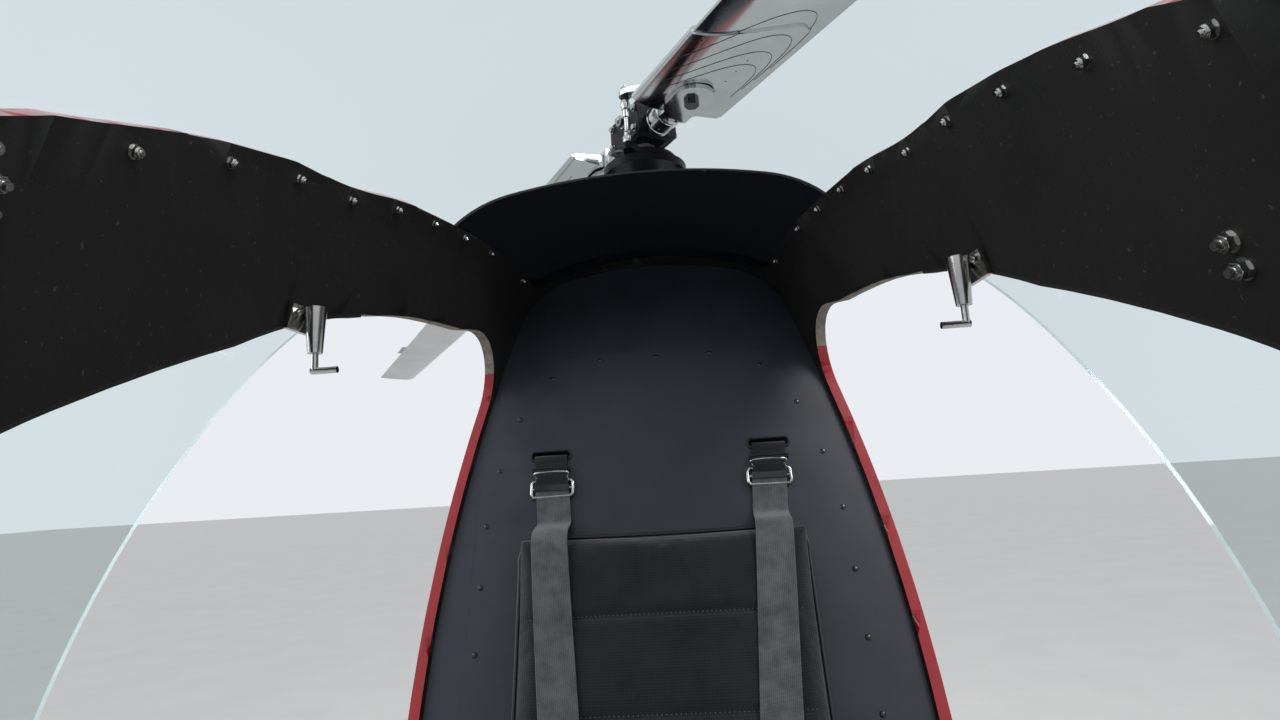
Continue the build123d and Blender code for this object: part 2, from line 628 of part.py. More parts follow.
# Lap belts and buckle on the seat cushion
cushion_top = CUSHION_T + FIT
lap_at = (LAP_Y - BULK_FOOT_Y) / cos(atan2(SEAT_SLOPE, 1))
half_cushion = SEAT_W / 2 - 10
laps = []
for side in (1, -1):
    run = [(26, cushion_top + 1.6), (half_cushion + 3, cushion_top + 1.6), (half_cushion + 3, FIT)]
    path = Polyline(*[(side * x, z) for x, z in run])
    lap_plane = Plane(origin=seat.origin + seat.y_dir * lap_at, x_dir=(1, 0, 0), z_dir=-seat.y_dir)
    laps.append(extrude(lap_plane * trace(path, WEB_T), WEB_W / 2, both=True))
save("lap_belts", Compound(laps))
buckle_spot = seat * Pos(0, lap_at, cushion_top + 1.6 + WEB_T / 2 + FIT)
buckle = buckle_spot * Cylinder(BUCKLE_R, BUCKLE_T, align=UP)
save("harness_buckle", fillet(buckle.edges().filter_by(GeomType.CIRCLE).group_by(Axis.Z)[-1], 4))
clips = []
for side in (1, -1):
    share = (SLOT_UP - ADJUSTER_UP) / (SLOT_UP - BACK_FROM)
    x = side * (SLOT_X - (SLOT_X - BELT_FOOT_X) * share)
    plate = Rectangle(ADJUSTER_W, ADJUSTER_H) - Pos(0, 5) * Rectangle(WEB_W + 2, 6) - Pos(0, -5) * Rectangle(WEB_W + 2, 5)
    clips.append(bulk.offset(face + WEB_T + FIT) * (Pos(x, ADJUSTER_UP) * extrude(plate, ADJUSTER_T)))
save("harness_adjusters", Compound(clips))


def lever_tube(path, x, radius):
    """Round tube along a side-view path that starts on the floor."""
    points = [(y, FLOOR_Z + up) for y, up in path]
    line = SIDE * FilletPolyline(*points, radius=TUBE_BEND_R)
    start = Plane(origin=(0, points[0][0], points[0][1]), z_dir=(0, 0, 1))
    return Pos(x, 0, 0) * sweep(start * Circle(radius), path=line)


def lever_grip(path, x, radius, length):
    (y0, z0), (y1, z1) = path[-2:]
    way = Vector(0, y1 - y0, z1 - z0).normalized()
    end = Plane(origin=(x, y1, FLOOR_Z + z1), z_dir=way)
    return extrude(end.offset(-length) * Circle(radius), length + 6)


stick = lever_tube(STICK_PATH, 0, STICK_R) + lever_grip(STICK_PATH, 0, STICK_GRIP_R, 105)
stick += Pos(0, STICK_PATH[0][0], FLOOR_Z) * Cone(34, STICK_R + 2, 30, align=UP)
save("cyclic_stick", stick)
lever = lever_tube(LEVER_PATH, LEVER_X, STICK_R) + lever_grip(LEVER_PATH, LEVER_X, STICK_GRIP_R, 120)
save("collective_lever", lever)

# Console on its pedestal, and the pedals
pedestal = box_between(
    (-PEDESTAL_W / 2, CONSOLE_Y - PEDESTAL_L / 2, FLOOR_Z), (PEDESTAL_W / 2, CONSOLE_Y + PEDESTAL_L / 2, CONSOLE_LOW)
)
save("console_pedestal", fillet(pedestal.edges().filter_by(Axis.Z), 14))
binnacle = Pos(0, CONSOLE_Y, CONSOLE_LOW) * Box(CONSOLE_W, CONSOLE_T, CONSOLE_H, align=UP)
binnacle = fillet(binnacle.edges().filter_by(Axis.Y), 40)
save("instrument_console", binnacle)
pedals = []
for side in (1, -1):
    pedal = Pos(side * PEDAL_X, PEDAL_Y, FLOOR_Z) * Box(46, 40, 12, align=UP)
    pedal += Pos(side * PEDAL_X, PEDAL_Y, FLOOR_Z) * Box(14, 16, 70, align=UP)
    pedal += Pos(side * PEDAL_X, PEDAL_Y, FLOOR_Z + 46) * Rot(14, 0, 0) * Box(PEDAL_W, 9, PEDAL_H, align=UP)
    pedals.append(pedal)
save("rudder_pedals", Compound(pedals))

# Door latches on the inner wall
top = LATCH_Z + 24
foot = top - LATCH_L - 16
plate_zone = box_between((0, LATCH_Y - 22, LATCH_Z + 2), (500, LATCH_Y + 22, top))
plate = (pod(WALL + FIT) & plate_zone) - pod(WALL + FIT + LATCH_PLATE)
x = plate.bounding_box().min.X - LATCH_R + 3
latch = plate + Pos(x, LATCH_Y, top) * Rot(180, 0, 0) * Cone(LATCH_R, LATCH_R - 3, LATCH_L, align=UP)
latch += Pos(x, LATCH_Y, foot) * Cylinder(LATCH_ROD_R, 20, align=UP)
latch += Pos(x - 9, LATCH_Y, foot) * Rot(0, 90, 0) * Cylinder(LATCH_ROD_R, 24)
save("door_latches", Compound([latch, mirror(latch, about=Plane.YZ)]))

# Exhaust pipe from the side of the engine block
pipe = extrude(exhaust_axis * (Circle(EXHAUST_R) - Circle(EXHAUST_R - EXHAUST_WALL)), EXHAUST_L)
pipe -= box_between((-BLOCK_W / 2, -500, 0), (500, 1000, FAR))
save("exhaust_pipe", pipe)
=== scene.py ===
import math
import bmesh
import bpy
import numpy as np
from mathutils import Matrix, Vector
from mathutils.bvhtree import BVHTree


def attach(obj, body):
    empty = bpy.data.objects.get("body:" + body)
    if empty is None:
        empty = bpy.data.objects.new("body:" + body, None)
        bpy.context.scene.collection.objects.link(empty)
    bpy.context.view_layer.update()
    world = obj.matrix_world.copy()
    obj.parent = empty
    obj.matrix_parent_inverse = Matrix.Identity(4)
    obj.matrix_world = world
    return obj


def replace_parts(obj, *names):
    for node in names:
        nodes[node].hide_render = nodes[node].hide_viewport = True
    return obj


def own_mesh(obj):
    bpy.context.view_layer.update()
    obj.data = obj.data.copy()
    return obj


# Cabin of a single-seat light helicopter with its rotor head and blades, in metres.
# +X is the port side, +Y aft, +Z up. The frame's own solids stay where their shape is right.
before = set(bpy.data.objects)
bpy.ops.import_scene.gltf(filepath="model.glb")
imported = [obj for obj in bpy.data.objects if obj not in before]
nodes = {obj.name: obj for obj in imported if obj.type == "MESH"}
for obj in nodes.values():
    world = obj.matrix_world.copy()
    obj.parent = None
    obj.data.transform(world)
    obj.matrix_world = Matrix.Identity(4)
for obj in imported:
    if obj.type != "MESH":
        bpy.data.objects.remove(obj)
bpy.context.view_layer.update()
MM = 0.001
UPWARD = Vector((0, 0, 1))


def linear(code):
    """Scene-linear colour of an sRGB hex value."""
    parts = [int(code[i:i + 2], 16) / 255 for i in (1, 3, 5)]
    return tuple(c / 12.92 if c <= 0.04045 else ((c + 0.055) / 1.055) ** 2.4 for c in parts) + (1.0,)


def add(tree, kind, settings=(), **inputs):
    """Adds a node. Settings are its properties; inputs are values or sockets by name, _ for a space."""
    node = tree.nodes.new(kind)
    for key, value in dict(settings).items():
        setattr(node, key, value)
    for key, value in inputs.items():
        name = key.replace("_", " ")
        found = [s for s in node.inputs if s.enabled and (s.name == name or s.identifier == name)]
        if isinstance(value, bpy.types.NodeSocket):
            tree.links.new(value, found[0])
        else:
            found[0].default_value = value
    return node


def maths(tree, operation, *values):
    """Output of a Math node. Values are numbers or sockets."""
    node = add(tree, "ShaderNodeMath", {"operation": operation})
    for value, slot in zip(values, node.inputs):
        if isinstance(value, bpy.types.NodeSocket):
            tree.links.new(value, slot)
        else:
            slot.default_value = value
    return node.outputs[0]


def blend(tree, fac, first, second):
    """Output of a Mix Shader node between two shader nodes."""
    node = add(tree, "ShaderNodeMixShader", Fac=fac)
    tree.links.new(first.outputs[0], node.inputs[1])
    tree.links.new(second.outputs[0], node.inputs[2])
    return node.outputs[0]


def blank(owner):
    """The emptied node tree of a material or world."""
    owner.use_nodes = True
    owner.node_tree.nodes.clear()
    return owner.node_tree


def finish_of(name, **surface):
    """A material with one Principled shader. Returns it with its tree and shader."""
    made = bpy.data.materials.new(name)
    tree = blank(made)
    shader = add(tree, "ShaderNodeBsdfPrincipled", **surface)
    add(tree, "ShaderNodeOutputMaterial", Surface=shader.outputs[0])
    return made, tree, shader


def ramp(tree, fac, low, high, dark, light):
    """Colour that runs from dark at low to light at high."""
    node = add(tree, "ShaderNodeValToRGB", Fac=fac)
    first, last = node.color_ramp.elements
    first.position, first.color = low, dark
    last.position, last.color = high, light
    return node.outputs["Color"]


def spread(tree, fac, low, high):
    """A number from low to high as fac runs from 0 to 1."""
    return add(tree, "ShaderNodeMapRange", Value=fac, To_Min=low, To_Max=high).outputs[0]


def grain(tree, size, detail=3.0, stretch=(1, 1, 1), rough=0.6):
    """Noise whose grains are about size metres across."""
    place = add(tree, "ShaderNodeTexCoord").outputs["Object"]
    place = add(tree, "ShaderNodeMapping", Vector=place, Scale=stretch).outputs[0]
    return add(tree, "ShaderNodeTexNoise", Vector=place, Scale=1 / size, Detail=detail,
               Roughness=rough).outputs["Fac"]


def hued(tree, shader, fac, low, high, dark, light):
    """Gives the shader a colour that runs from dark at low to light at high."""
    tree.links.new(ramp(tree, fac, low, high, linear(dark), linear(light)), shader.inputs["Base Color"])


def ribbed(tree, place, way, scale, distortion):
    """Bands across that way, with scale as the Wave Texture node has it."""
    return add(tree, "ShaderNodeTexWave", {"bands_direction": way}, Vector=place, Scale=scale,
               Distortion=distortion, Detail=1.0).outputs["Fac"]


def raised(tree, shader, height, depth, strength=1.0, under=None):
    """Gives the shader a bump of that depth in metres."""
    bump = add(tree, "ShaderNodeBump", Height=height, Distance=depth, Strength=strength)
    if under is not None:
        tree.links.new(under, bump.inputs["Normal"])
    tree.links.new(bump.outputs[0], shader.inputs["Normal"])
    return bump.outputs[0]


def red_gelcoat():
    """Polished polyester gel coat: deep gloss over a faint orange peel, with a thin film of dust."""
    made, tree, shader = finish_of("red_gelcoat", Coat_Weight=0.6, Coat_Roughness=0.04, Roughness=0.3,
                                   Specular_IOR_Level=0.35)
    hued(tree, shader, grain(tree, 0.09, 6), 0.35, 0.75, "#8E0815", "#A20C1B")
    raised(tree, shader, grain(tree, 0.005, 2), 0.00006, 0.5)
    return made


def painted_laminate():
    """Brown-black paint on the rough inside of hand-laid glass cloth: matt, with resin ripples and lint."""
    made, tree, shader = finish_of("painted_laminate", Specular_IOR_Level=0.35)
    cloud = grain(tree, 0.12, 5)
    colour = ramp(tree, cloud, 0.3, 0.75, linear("#0D0A09"), linear("#1A1412"))
    lint = grain(tree, 0.0035, 2, rough=0.4)
    flecks = ramp(tree, lint, 0.70, 0.78, (0, 0, 0, 1), (1, 1, 1, 1))
    mixed = add(tree, "ShaderNodeMix", {"data_type": "RGBA"}, Factor=flecks, A=colour, B=linear("#4A413B"))
    tree.links.new(mixed.outputs["Result"], shader.inputs["Base Color"])
    tree.links.new(spread(tree, cloud, 0.55, 0.8), shader.inputs["Roughness"])
    place = add(tree, "ShaderNodeTexCoord").outputs["Object"]
    # Glass roving strands 3 mm apart, drawn along and up
    cloth = maths(tree, "MAXIMUM", *(ribbed(tree, place, way, 105.0, 1.5) for way in "YZ"))
    woven_bump = raised(tree, shader, cloth, 0.0002, 0.25)
    raised(tree, shader, grain(tree, 0.02, 4), 0.0012, 0.5, woven_bump)
    return made


def coated(name, dark, light, roughness, size=0.05, bump=0.0001, bump_size=0.001, **surface):
    """Paint, powder coat or moulded plastic: slightly clouded colour, grained by its spray or mould."""
    made, tree, shader = finish_of(name, **surface)
    cloud = grain(tree, size, 5)
    hued(tree, shader, cloud, 0.3, 0.7, dark, light)
    tree.links.new(spread(tree, cloud, roughness * 0.85, roughness * 1.15), shader.inputs["Roughness"])
    raised(tree, shader, grain(tree, bump_size, 2), bump, 0.5)
    return made


def metal(name, dark, light, roughness, stretch=(1, 1, 1), size=0.002, bump=0.00002, cloud=0.04):
    """Bare metal: fine scratches along the way it was worked, with cloudy handling marks."""
    made, tree, shader = finish_of(name, Metallic=1.0)
    hued(tree, shader, grain(tree, cloud, 6), 0.3, 0.7, dark, light)
    lines = grain(tree, size, 3, stretch)
    tree.links.new(spread(tree, lines, roughness * 0.7, roughness * 1.35), shader.inputs["Roughness"])
    raised(tree, shader, lines, bump, 0.4)
    return made


def clear_acrylic(name, tint, gloss):
    """Cast acrylic sheet: lets nearly all through, with mirror reflections that rise at a slant."""
    made = bpy.data.materials.new(name)
    tree = blank(made)
    through = add(tree, "ShaderNodeBsdfTransparent", Color=linear(tint))
    mirror = add(tree, "ShaderNodeBsdfGlossy", Color=linear("#FFFFFF"), Roughness=gloss)
    # The sheet's inner side of each face would mirror everything at a slant, so only its outer side mirrors
    outer_side = maths(tree, "SUBTRACT", 1.0, add(tree, "ShaderNodeNewGeometry").outputs["Backfacing"])
    share = maths(tree, "MULTIPLY", add(tree, "ShaderNodeFresnel", IOR=1.49).outputs[0], outer_side)
    add(tree, "ShaderNodeOutputMaterial", Surface=blend(tree, share, through, mirror))
    return made


def pad_cloth(name, dark, light, rib, across):
    """Hard-wearing seat cloth: ribs rib metres apart, crossed by others, with a soft sheen; its colour is
    lighter on the rib tops and darker in the grooves, painted highlight and shade, over a random tone.
    across is the axis that the ribs are spaced along, beside X."""
    made, tree, shader = finish_of(name, Roughness=0.92, Sheen_Weight=0.35, Specular_IOR_Level=0.2)
    place = add(tree, "ShaderNodeTexCoord").outputs["Object"]
    scale = math.pi / 10 / rib
    both = maths(tree, "MULTIPLY", *(ribbed(tree, place, way, scale, 0.8) for way in (across, "X")))
    # Colour follows the ribs, darker in the grooves and lighter on the tops: painted shade and highlight,
    # plus random tone
    rib_shade_and_tone = maths(tree, "MULTIPLY_ADD", both, 0.45, grain(tree, 0.06, 6))
    hued(tree, shader, rib_shade_and_tone, 0.35, 0.95, dark, light)
    woven_bump = raised(tree, shader, both, 0.0004, 0.5)
    raised(tree, shader, grain(tree, 0.035, 4), 0.0015, 0.35, woven_bump)
    return made


def woven(name, dark, light, thread):
    """Woven tape: warp and weft ribs thread metres apart, on the piece's own UV map in metres."""
    made, tree, shader = finish_of(name, Roughness=0.85, Sheen_Weight=0.3, Specular_IOR_Level=0.25)
    place = add(tree, "ShaderNodeUVMap", {"uv_map": "lay"}).outputs[0]
    ribs = [ribbed(tree, place, way, math.pi / 10 / (thread * share), 0.6)
            for way, share in (("X", 1.0), ("Y", 0.6))]
    both = maths(tree, "MULTIPLY", *ribs)
    # Colour follows the ribs, darker between the threads and lighter on them: painted shade and highlight,
    # plus random tone
    rib_shade_and_tone = maths(tree, "MULTIPLY_ADD", both, 0.5, grain(tree, 0.02, 5))
    hued(tree, shader, rib_shade_and_tone, 0.35, 1.0, dark, light)
    raised(tree, shader, both, 0.0003, 0.6)
    return made


GELCOAT = red_gelcoat()
LINER = painted_laminate()
CUT_LAMINATE = coated("sawn_glass_laminate", "#6E6860", "#A39C90", 0.85, 0.012, 0.0003, 0.0015)
# Black gel coat of the roof panel, its colour tinted blue: a painted reflection of the sky on the gloss
BLACK_GEL_PAINTED_SKY = coated("black_gelcoat_painted_sky_tint", "#0A0D16", "#10141F", 0.14, 0.08, 0.00005, 0.006, Coat_Weight=0.6,
                  Coat_Roughness=0.05)
PANEL_PAINT = coated("grey_blue_satin_paint", "#191D26", "#232833", 0.42, 0.06, 0.00012, 0.0015)
BLACK_COMPOSITE = coated("moulded_black_composite", "#0E0E0F", "#18181A", 0.5, 0.03, 0.00015, 0.0008)
ENAMEL = coated("black_enamel_on_steel", "#0B0B0C", "#141415", 0.3, 0.03, 0.00006, 0.002, Coat_Weight=0.3)
RUBBER = coated("extruded_rubber", "#0B0B0B", "#161514", 0.7, 0.01, 0.00008, 0.0006)
ACRYLIC = clear_acrylic("cast_acrylic", "#F6FAFA", 0.01)
# The clear sheets' narrow edges get an opaque near-white colour: a painted highlight standing in for the
# light a polished edge carries
ACRYLIC_EDGE_GLINT = coated("flame_polished_acrylic_edge_painted_glint", "#D9E8EA", "#F4FBFC", 0.1, 0.02, 0.00002, 0.002)
STAINLESS = metal("stainless_steel", "#A8A6A2", "#C9C7C3", 0.2)
BRIGHT_STEEL = metal("ground_steel", "#B4B3B0", "#CFCDCA", 0.16, (1, 1, 0.1))
ALUMINIUM = metal("machined_aluminium", "#9A9B9D", "#C0C1C3", 0.33)
POLISHED = metal("polished_aluminium", "#C9CACB", "#E2E2E1", 0.13, size=0.003, cloud=0.15)
ANODISED = metal("black_anodised_aluminium", "#131315", "#1E1E21", 0.4)
CAST = metal("sand_cast_aluminium", "#6F7072", "#8C8D8F", 0.55, size=0.0015, bump=0.00015)
HOT_STEEL = metal("heat_tinted_steel", "#6E5A45", "#8F8A86", 0.35, cloud=0.12)
WEBBING = woven("grey_polyester_webbing", "#3C3D41", "#6A6B70", 0.0022)
WEBBING_BLACK = woven("black_polyester_webbing", "#0C0C0E", "#1D1D20", 0.0022)
# Ribs 3 mm apart, twice the real cloth's, so that they show
SEAT_CLOTH = pad_cloth("black_seat_cloth", "#0F0F11", "#26262B", 0.003, "Y")
BACK_CLOTH = pad_cloth("black_back_cloth", "#0F0F11", "#26262B", 0.003, "Z")
VINYL = coated("black_vinyl_piping", "#0C0C0D", "#1A1A1C", 0.45, 0.01, 0.00012, 0.001)
THREAD = coated("waxed_grey_thread", "#4A4B4F", "#66676B", 0.6, 0.01, 0.0001, 0.0006)
GAUGE_FACE = coated("matt_black_dial_paint", "#09090A", "#111112", 0.8, 0.02, 0.00003, 0.001)
DIAL_WHITE = coated("white_dial_paint", "#D8D8D2", "#ECECE6", 0.6, 0.02, 0.00002, 0.001)
BRASS = metal("cadmium_plated_brass", "#A99A6B", "#C4B98F", 0.3)


def link(name, mesh, body="root"):
    piece = bpy.data.objects.new(name, mesh)
    bpy.context.scene.collection.objects.link(piece)
    if body:
        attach(piece, body)
    return piece


def smooth(mesh, angle=32):
    mesh.shade_smooth()
    mesh.set_sharp_from_angle(angle=math.radians(angle))


def opened(mesh):
    form = bmesh.new()
    form.from_mesh(mesh)
    return form


def closed(form, mesh):
    form.to_mesh(mesh)
    form.free()
    return mesh


def evaluated(piece):
    """The mesh of a piece with its modifiers."""
    graph = bpy.context.evaluated_depsgraph_get()
    return bpy.data.meshes.new_from_object(piece.evaluated_get(graph))


def drawn(name, verts, faces, *finishes):
    mesh = bpy.data.meshes.new(name)
    mesh.from_pydata([tuple(v) for v in verts], [], faces)
    for finish in finishes:
        mesh.materials.append(finish)
    return mesh


def tree_of(node):
    """Ray tree of a frame node, by its name, or of a piece."""
    mesh = nodes[node].data if isinstance(node, str) else node.data
    return BVHTree.FromPolygons([v.co for v in mesh.vertices], [p.vertices for p in mesh.polygons])


def struck(tree, start, way):
    """Place and outward way where a ray first meets a solid, or None."""
    place, normal, index, gap = tree.ray_cast(Vector(start), Vector(way))
    return None if place is None else (place, normal)


def met(tree, rays):
    """The places and outward ways where rays of (start, way) meet a solid."""
    return [found for found in (struck(tree, start, way) for start, way in rays) if found]


# The frame's own solids that keep their shape, by finish
KEPT = (
    (RUBBER, "mast_boot"),
    (CAST, "engine_and_gearbox_block"),
    (HOT_STEEL, "exhaust_pipe"),
    (STAINLESS, "door_latches"),
    (PANEL_PAINT, "bulkhead_cover"),
    (BRIGHT_STEEL, "mast teeter_pin control_rods pitch_links"),
    (ENAMEL, "keel_beam root_bolts cyclic_stick collective_lever"),
    (ALUMINIUM, "floor_panel engine_deck gear_saddles tail_boom_flange pitch_horns rudder_pedals"),
    (ANODISED, "mast_housing mast_head teeter_yoke swashplate_fixed swashplate_rotating"),
    (POLISHED, "blade_forks rotor_blade_a rotor_blade_b"),
    (BLACK_COMPOSITE, "seat_pan console_pedestal instrument_console"),
)
for finish, names in KEPT:
    for name in names.split():
        nodes[name].data.materials.clear()
        nodes[name].data.materials.append(finish)


def heart(point):
    """Nearest point of a line through the middle of the pod."""
    y = min(max(point.y, -1.2), 0.3)
    return Vector((0, y, 0.70))


# Sections of the pod from the nose aft: place, half width, height of the widest line, top and bottom
POD = (
    (-1.672, 0.055, 0.462, 0.515, 0.409),
    (-1.650, 0.112, 0.468, 0.588, 0.352),
    (-1.590, 0.178, 0.478, 0.692, 0.274),
    (-1.480, 0.246, 0.495, 0.825, 0.195),
    (-1.230, 0.330, 0.570, 1.090, 0.090),
    (-0.900, 0.365, 0.680, 1.300, 0.032),
    (-0.500, 0.352, 0.750, 1.375, 0.014),
    (-0.100, 0.292, 0.750, 1.345, 0.032),
    (0.350, 0.240, 0.720, 1.120, 0.165),
    (0.800, 0.130, 0.740, 0.870, 0.610),
)


def section(y, fair):
    """Half width, widest height, top and bottom at y, on the fair curves or the frame's straight bands."""
    last = len(POD) - 1
    y = min(max(y, POD[0][0]), POD[last][0] - 1e-9)
    i = max(k for k in range(last) if POD[k][0] <= y)
    a, b, c, d = (np.array(POD[min(max(k, 0), last)]) for k in (i - 1, i, i + 1, i + 2))
    step = c[0] - b[0]

    def curve(s):
        pull_in, pull_out = (c - a) / (c[0] - a[0]) * step, (d - b) / (d[0] - b[0]) * step
        return ((2 * s ** 3 - 3 * s * s + 1) * b + (s ** 3 - 2 * s * s + s) * pull_in
                + (3 * s * s - 2 * s ** 3) * c + (s ** 3 - s * s) * pull_out)

    s = (y - b[0]) / step
    if fair:
        return curve(s)[1:]
    half = 0.0 if s < 0.5 else 0.5
    t = (s - half) * 2
    return (curve(half) * (1 - t) + curve(half + 0.5) * t)[1:]


def merged(node, fair_up=True):
    """A merged copy of a frame solid, its straight bands between the sections made fair."""
    form = opened(nodes[node].data)
    bmesh.ops.remove_doubles(form, verts=form.verts, dist=2e-6)
    low = min(v.co.y for v in form.verts)
    high = max(v.co.y for v in form.verts)
    for y in np.arange(low + 0.02, high - 0.01, 0.04):
        bmesh.ops.bisect_plane(form, geom=form.verts[:] + form.edges[:] + form.faces[:], dist=1e-5,
                               plane_co=(0, float(y), 0), plane_no=(0, 1, 0))
    for v in form.verts:
        wide, mid, top, bottom = section(v.co.y, True)
        flat_wide, flat_mid, flat_top, flat_bottom = section(v.co.y, False)
        v.co.x *= wide / flat_wide
        if fair_up:
            rise = v.co.z - flat_mid
            if rise > 0:
                share = (top - mid) / (flat_top - flat_mid)
            else:
                share = (mid - bottom) / (flat_mid - flat_bottom)
            v.co.z = mid + rise * share
    form.normal_update()
    return form


def regions(form, limit):
    """Groups of faces that meet under the limit in degrees."""
    form.faces.ensure_lookup_table()
    form.faces.index_update()
    limit = math.cos(math.radians(limit))
    seen, groups = set(), []
    for start in form.faces:
        if start.index in seen:
            continue
        seen.add(start.index)
        group, todo = [], [start]
        while todo:
            face = todo.pop()
            group.append(face)
            for edge in face.edges:
                for near in edge.link_faces:
                    if near.index not in seen and near.normal.dot(face.normal) > limit:
                        seen.add(near.index)
                        todo.append(near)
        groups.append(group)
    return groups


def dressed(form, name, node, finishes):
    """A piece of the scene that stands for a frame node."""
    mesh = closed(form, bpy.data.meshes.new(name))
    for finish in finishes:
        mesh.materials.append(finish)
    smooth(mesh, 30)
    piece = link(name, mesh)
    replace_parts(piece, node)
    return piece


def lipped(form):
    """Moves the inner edge of the canopy opening in along the wall. Returns it and its outward ways."""
    form.normal_update()
    walls = BVHTree.FromBMesh(form)
    form.faces.ensure_lookup_table()
    # A face of the opening's rim, between its two edges
    begin = walls.ray_cast(Vector((0, -0.9, 1.17)), Vector((1, 0, 0)))[2]
    band, todo = {begin}, [form.faces[begin]]
    while todo:
        face = todo.pop()
        for edge in face.edges:
            for near in edge.link_faces:
                upright = abs(near.normal.z) < 0.12 and near.normal.dot(face.normal) > 0.7
                if upright and near.index not in band:
                    band.add(near.index)
                    todo.append(near)
    rim = {}
    for index in band:
        for edge in form.faces[index].edges:
            others = [f for f in edge.link_faces if f.index not in band]
            if len(others) == 1 and others[0].normal.dot(edge.verts[0].co - heart(edge.verts[0].co)) < 0:
                for v, other in zip(edge.verts, reversed(edge.verts)):
                    rim.setdefault(v, {})[other] = others[0].normal
    # The inner edge ends at the solid tip of the nose, on both sides
    chain, before = [next(v for v in rim if len(rim[v]) == 1)], None
    while True:
        steps = [v for v in rim[chain[-1]] if v is not before]
        if not steps or len(chain) > len(rim):
            break
        before = chain[-1]
        chain.append(steps[0])
    chain = [v for v in chain if v.co.y > -1.50]
    outward = [-sum(rim[v].values(), Vector()).normalized() for v in chain]
    # The edge stands 3.5 mm farther in, along the inner wall
    lifted = []
    for v, normal in zip(chain, outward):
        level = Vector((normal.x, normal.y, 0))
        steep = min(1.0, max(0.0, (level.length - 0.4) / 0.4))
        move = -level.normalized() * 0.0035 * steep
        move.z = min(0.012, 0.0035 * steep * level.length / max(normal.z, 0.2))
        v.co += move
        lifted.append(v.co.copy())
    return lifted, outward


def bevel_cutter(line, outward):
    """A solid bar along the opening's inner edge, all on the opening's side of the square cut."""
    spots, ways, run, target = [], [], 0.0, 0.0
    for a, b, m, n in zip(line, line[1:], outward, outward[1:]):
        long = (b - a).length
        while target <= run + long:
            t = (target - run) / max(long, 1e-9)
            spots.append(a.lerp(b, t))
            ways.append(m.lerp(n, t).normalized())
            target += 0.012
        run += long
    rings = []
    last = len(spots) - 1
    half = last // 3
    hand = 1 if (spots[half + 1] - spots[half]).cross(ways[half]).z > 0 else -1
    for i, spot in enumerate(spots):
        way = sum(ways[max(i - 2, 0):i + 3], Vector()).normalized()
        # Towards the nose the cut turns upright, as the frame has it
        way = way.lerp(UPWARD, min(1.0, max(0.0, (-1.34 - spot.y) / 0.14))).normalized()
        run_way = (spots[min(i + 1, last)] - spots[max(i - 1, 0)]).normalized()
        way = (way - run_way * way.dot(run_way)).normalized()
        tangent = run_way.cross(way) * hand
        level = math.hypot(way.x, way.y)
        reach = min(0.060, 0.014 * level / max(way.z, 0.15) + 0.005)
        rings.append([spot - way * 0.003, spot + way * 0.021, spot + way * 0.021 + tangent * reach,
                      spot - way * 0.003 + tangent * reach])
    verts = [p for ring in rings for p in ring]
    faces = [(3, 2, 1, 0), tuple(len(verts) - 4 + k for k in range(4))]
    for i in range(last):
        for k in range(4):
            m = (k + 1) % 4
            a, b, c, d = i * 4 + k, i * 4 + m, i * 4 + 4 + m, i * 4 + 4 + k
            faces += [(a, b, c), (a, c, d)]
    mesh = drawn("bevel_cutter", verts, faces)
    form = opened(mesh)
    bmesh.ops.recalc_face_normals(form, faces=form.faces)
    return closed(form, mesh)


def without(form, cutter):
    """The form less the cutter."""
    whole = bpy.data.objects.new("whole", closed(form, bpy.data.meshes.new("whole")))
    tool = bpy.data.objects.new("tool", cutter)
    for thing in (whole, tool):
        bpy.context.scene.collection.objects.link(thing)
    cut = whole.modifiers.new("cut", "BOOLEAN")
    cut.operation, cut.solver, cut.object = "DIFFERENCE", "EXACT", tool
    bpy.context.view_layer.update()
    form = opened(evaluated(whole))
    bpy.data.objects.remove(whole)
    bpy.data.objects.remove(tool)
    form.normal_update()
    return form


def walled(form, name, node):
    """Gel coat outside and round the doorways, liner inside, and bare laminate at a doorway's head."""
    for group in regions(form, 16):
        area = sum(face.calc_area() for face in group)
        facing = 0.0
        for face in group:
            middle = face.calc_center_median()
            facing += face.normal.dot(middle - heart(middle)) * face.calc_area()
        for face in group:
            middle = face.calc_center_median()
            if area > 0.5:
                face.material_index = 1 if facing < 0 else 0
            elif facing < -0.25 * area or middle.y > -0.42 and middle.z > 1.2:
                face.material_index = 1
            else:
                face.material_index = 2 if face.normal.z < -0.35 and middle.z > 0.9 else 0
    return dressed(form, name, node, [GELCOAT, LINER, CUT_LAMINATE])


cabin = merged("cabin_shell")
cabin = without(cabin, bevel_cutter(*lipped(cabin)))
cabin_skin = walled(cabin, "cabin_skin", "cabin_shell")
cowl_skin = walled(merged("aft_cowl"), "cowl_skin", "aft_cowl")
dressed(merged("roof_panel"), "roof_skin", "roof_panel", [BLACK_GEL_PAINTED_SKY])
dressed(merged("door_seals"), "door_seal_strips", "door_seals", [RUBBER])
dressed(merged("rear_bulkhead", False), "bulkhead_panel", "rear_bulkhead", [PANEL_PAINT])


def glazing(node, name):
    """A clear sheet, its broad faces apart from its narrow polished edges, which get a painted highlight
    colour.
    """
    form = merged(node)
    for group in regions(form, 22):
        broad = sum(face.calc_area() for face in group) > 0.05
        for face in group:
            middle = face.calc_center_median()
            # The canopy's rear edge lies in a rubber strip on the roof panel
            at_roof = node == "canopy" and -0.50 < middle.y < -0.30
            # Narrow edges get the painted highlight colour, those at the roof the rubber
            face.material_index = 0 if broad else 2 if at_roof else 1
    return dressed(form, name, node, [ACRYLIC, ACRYLIC_EDGE_GLINT, RUBBER])


canopy_glazing = glazing("canopy", "canopy_glazing")
glazing("quarter_windows", "quarter_glazing")


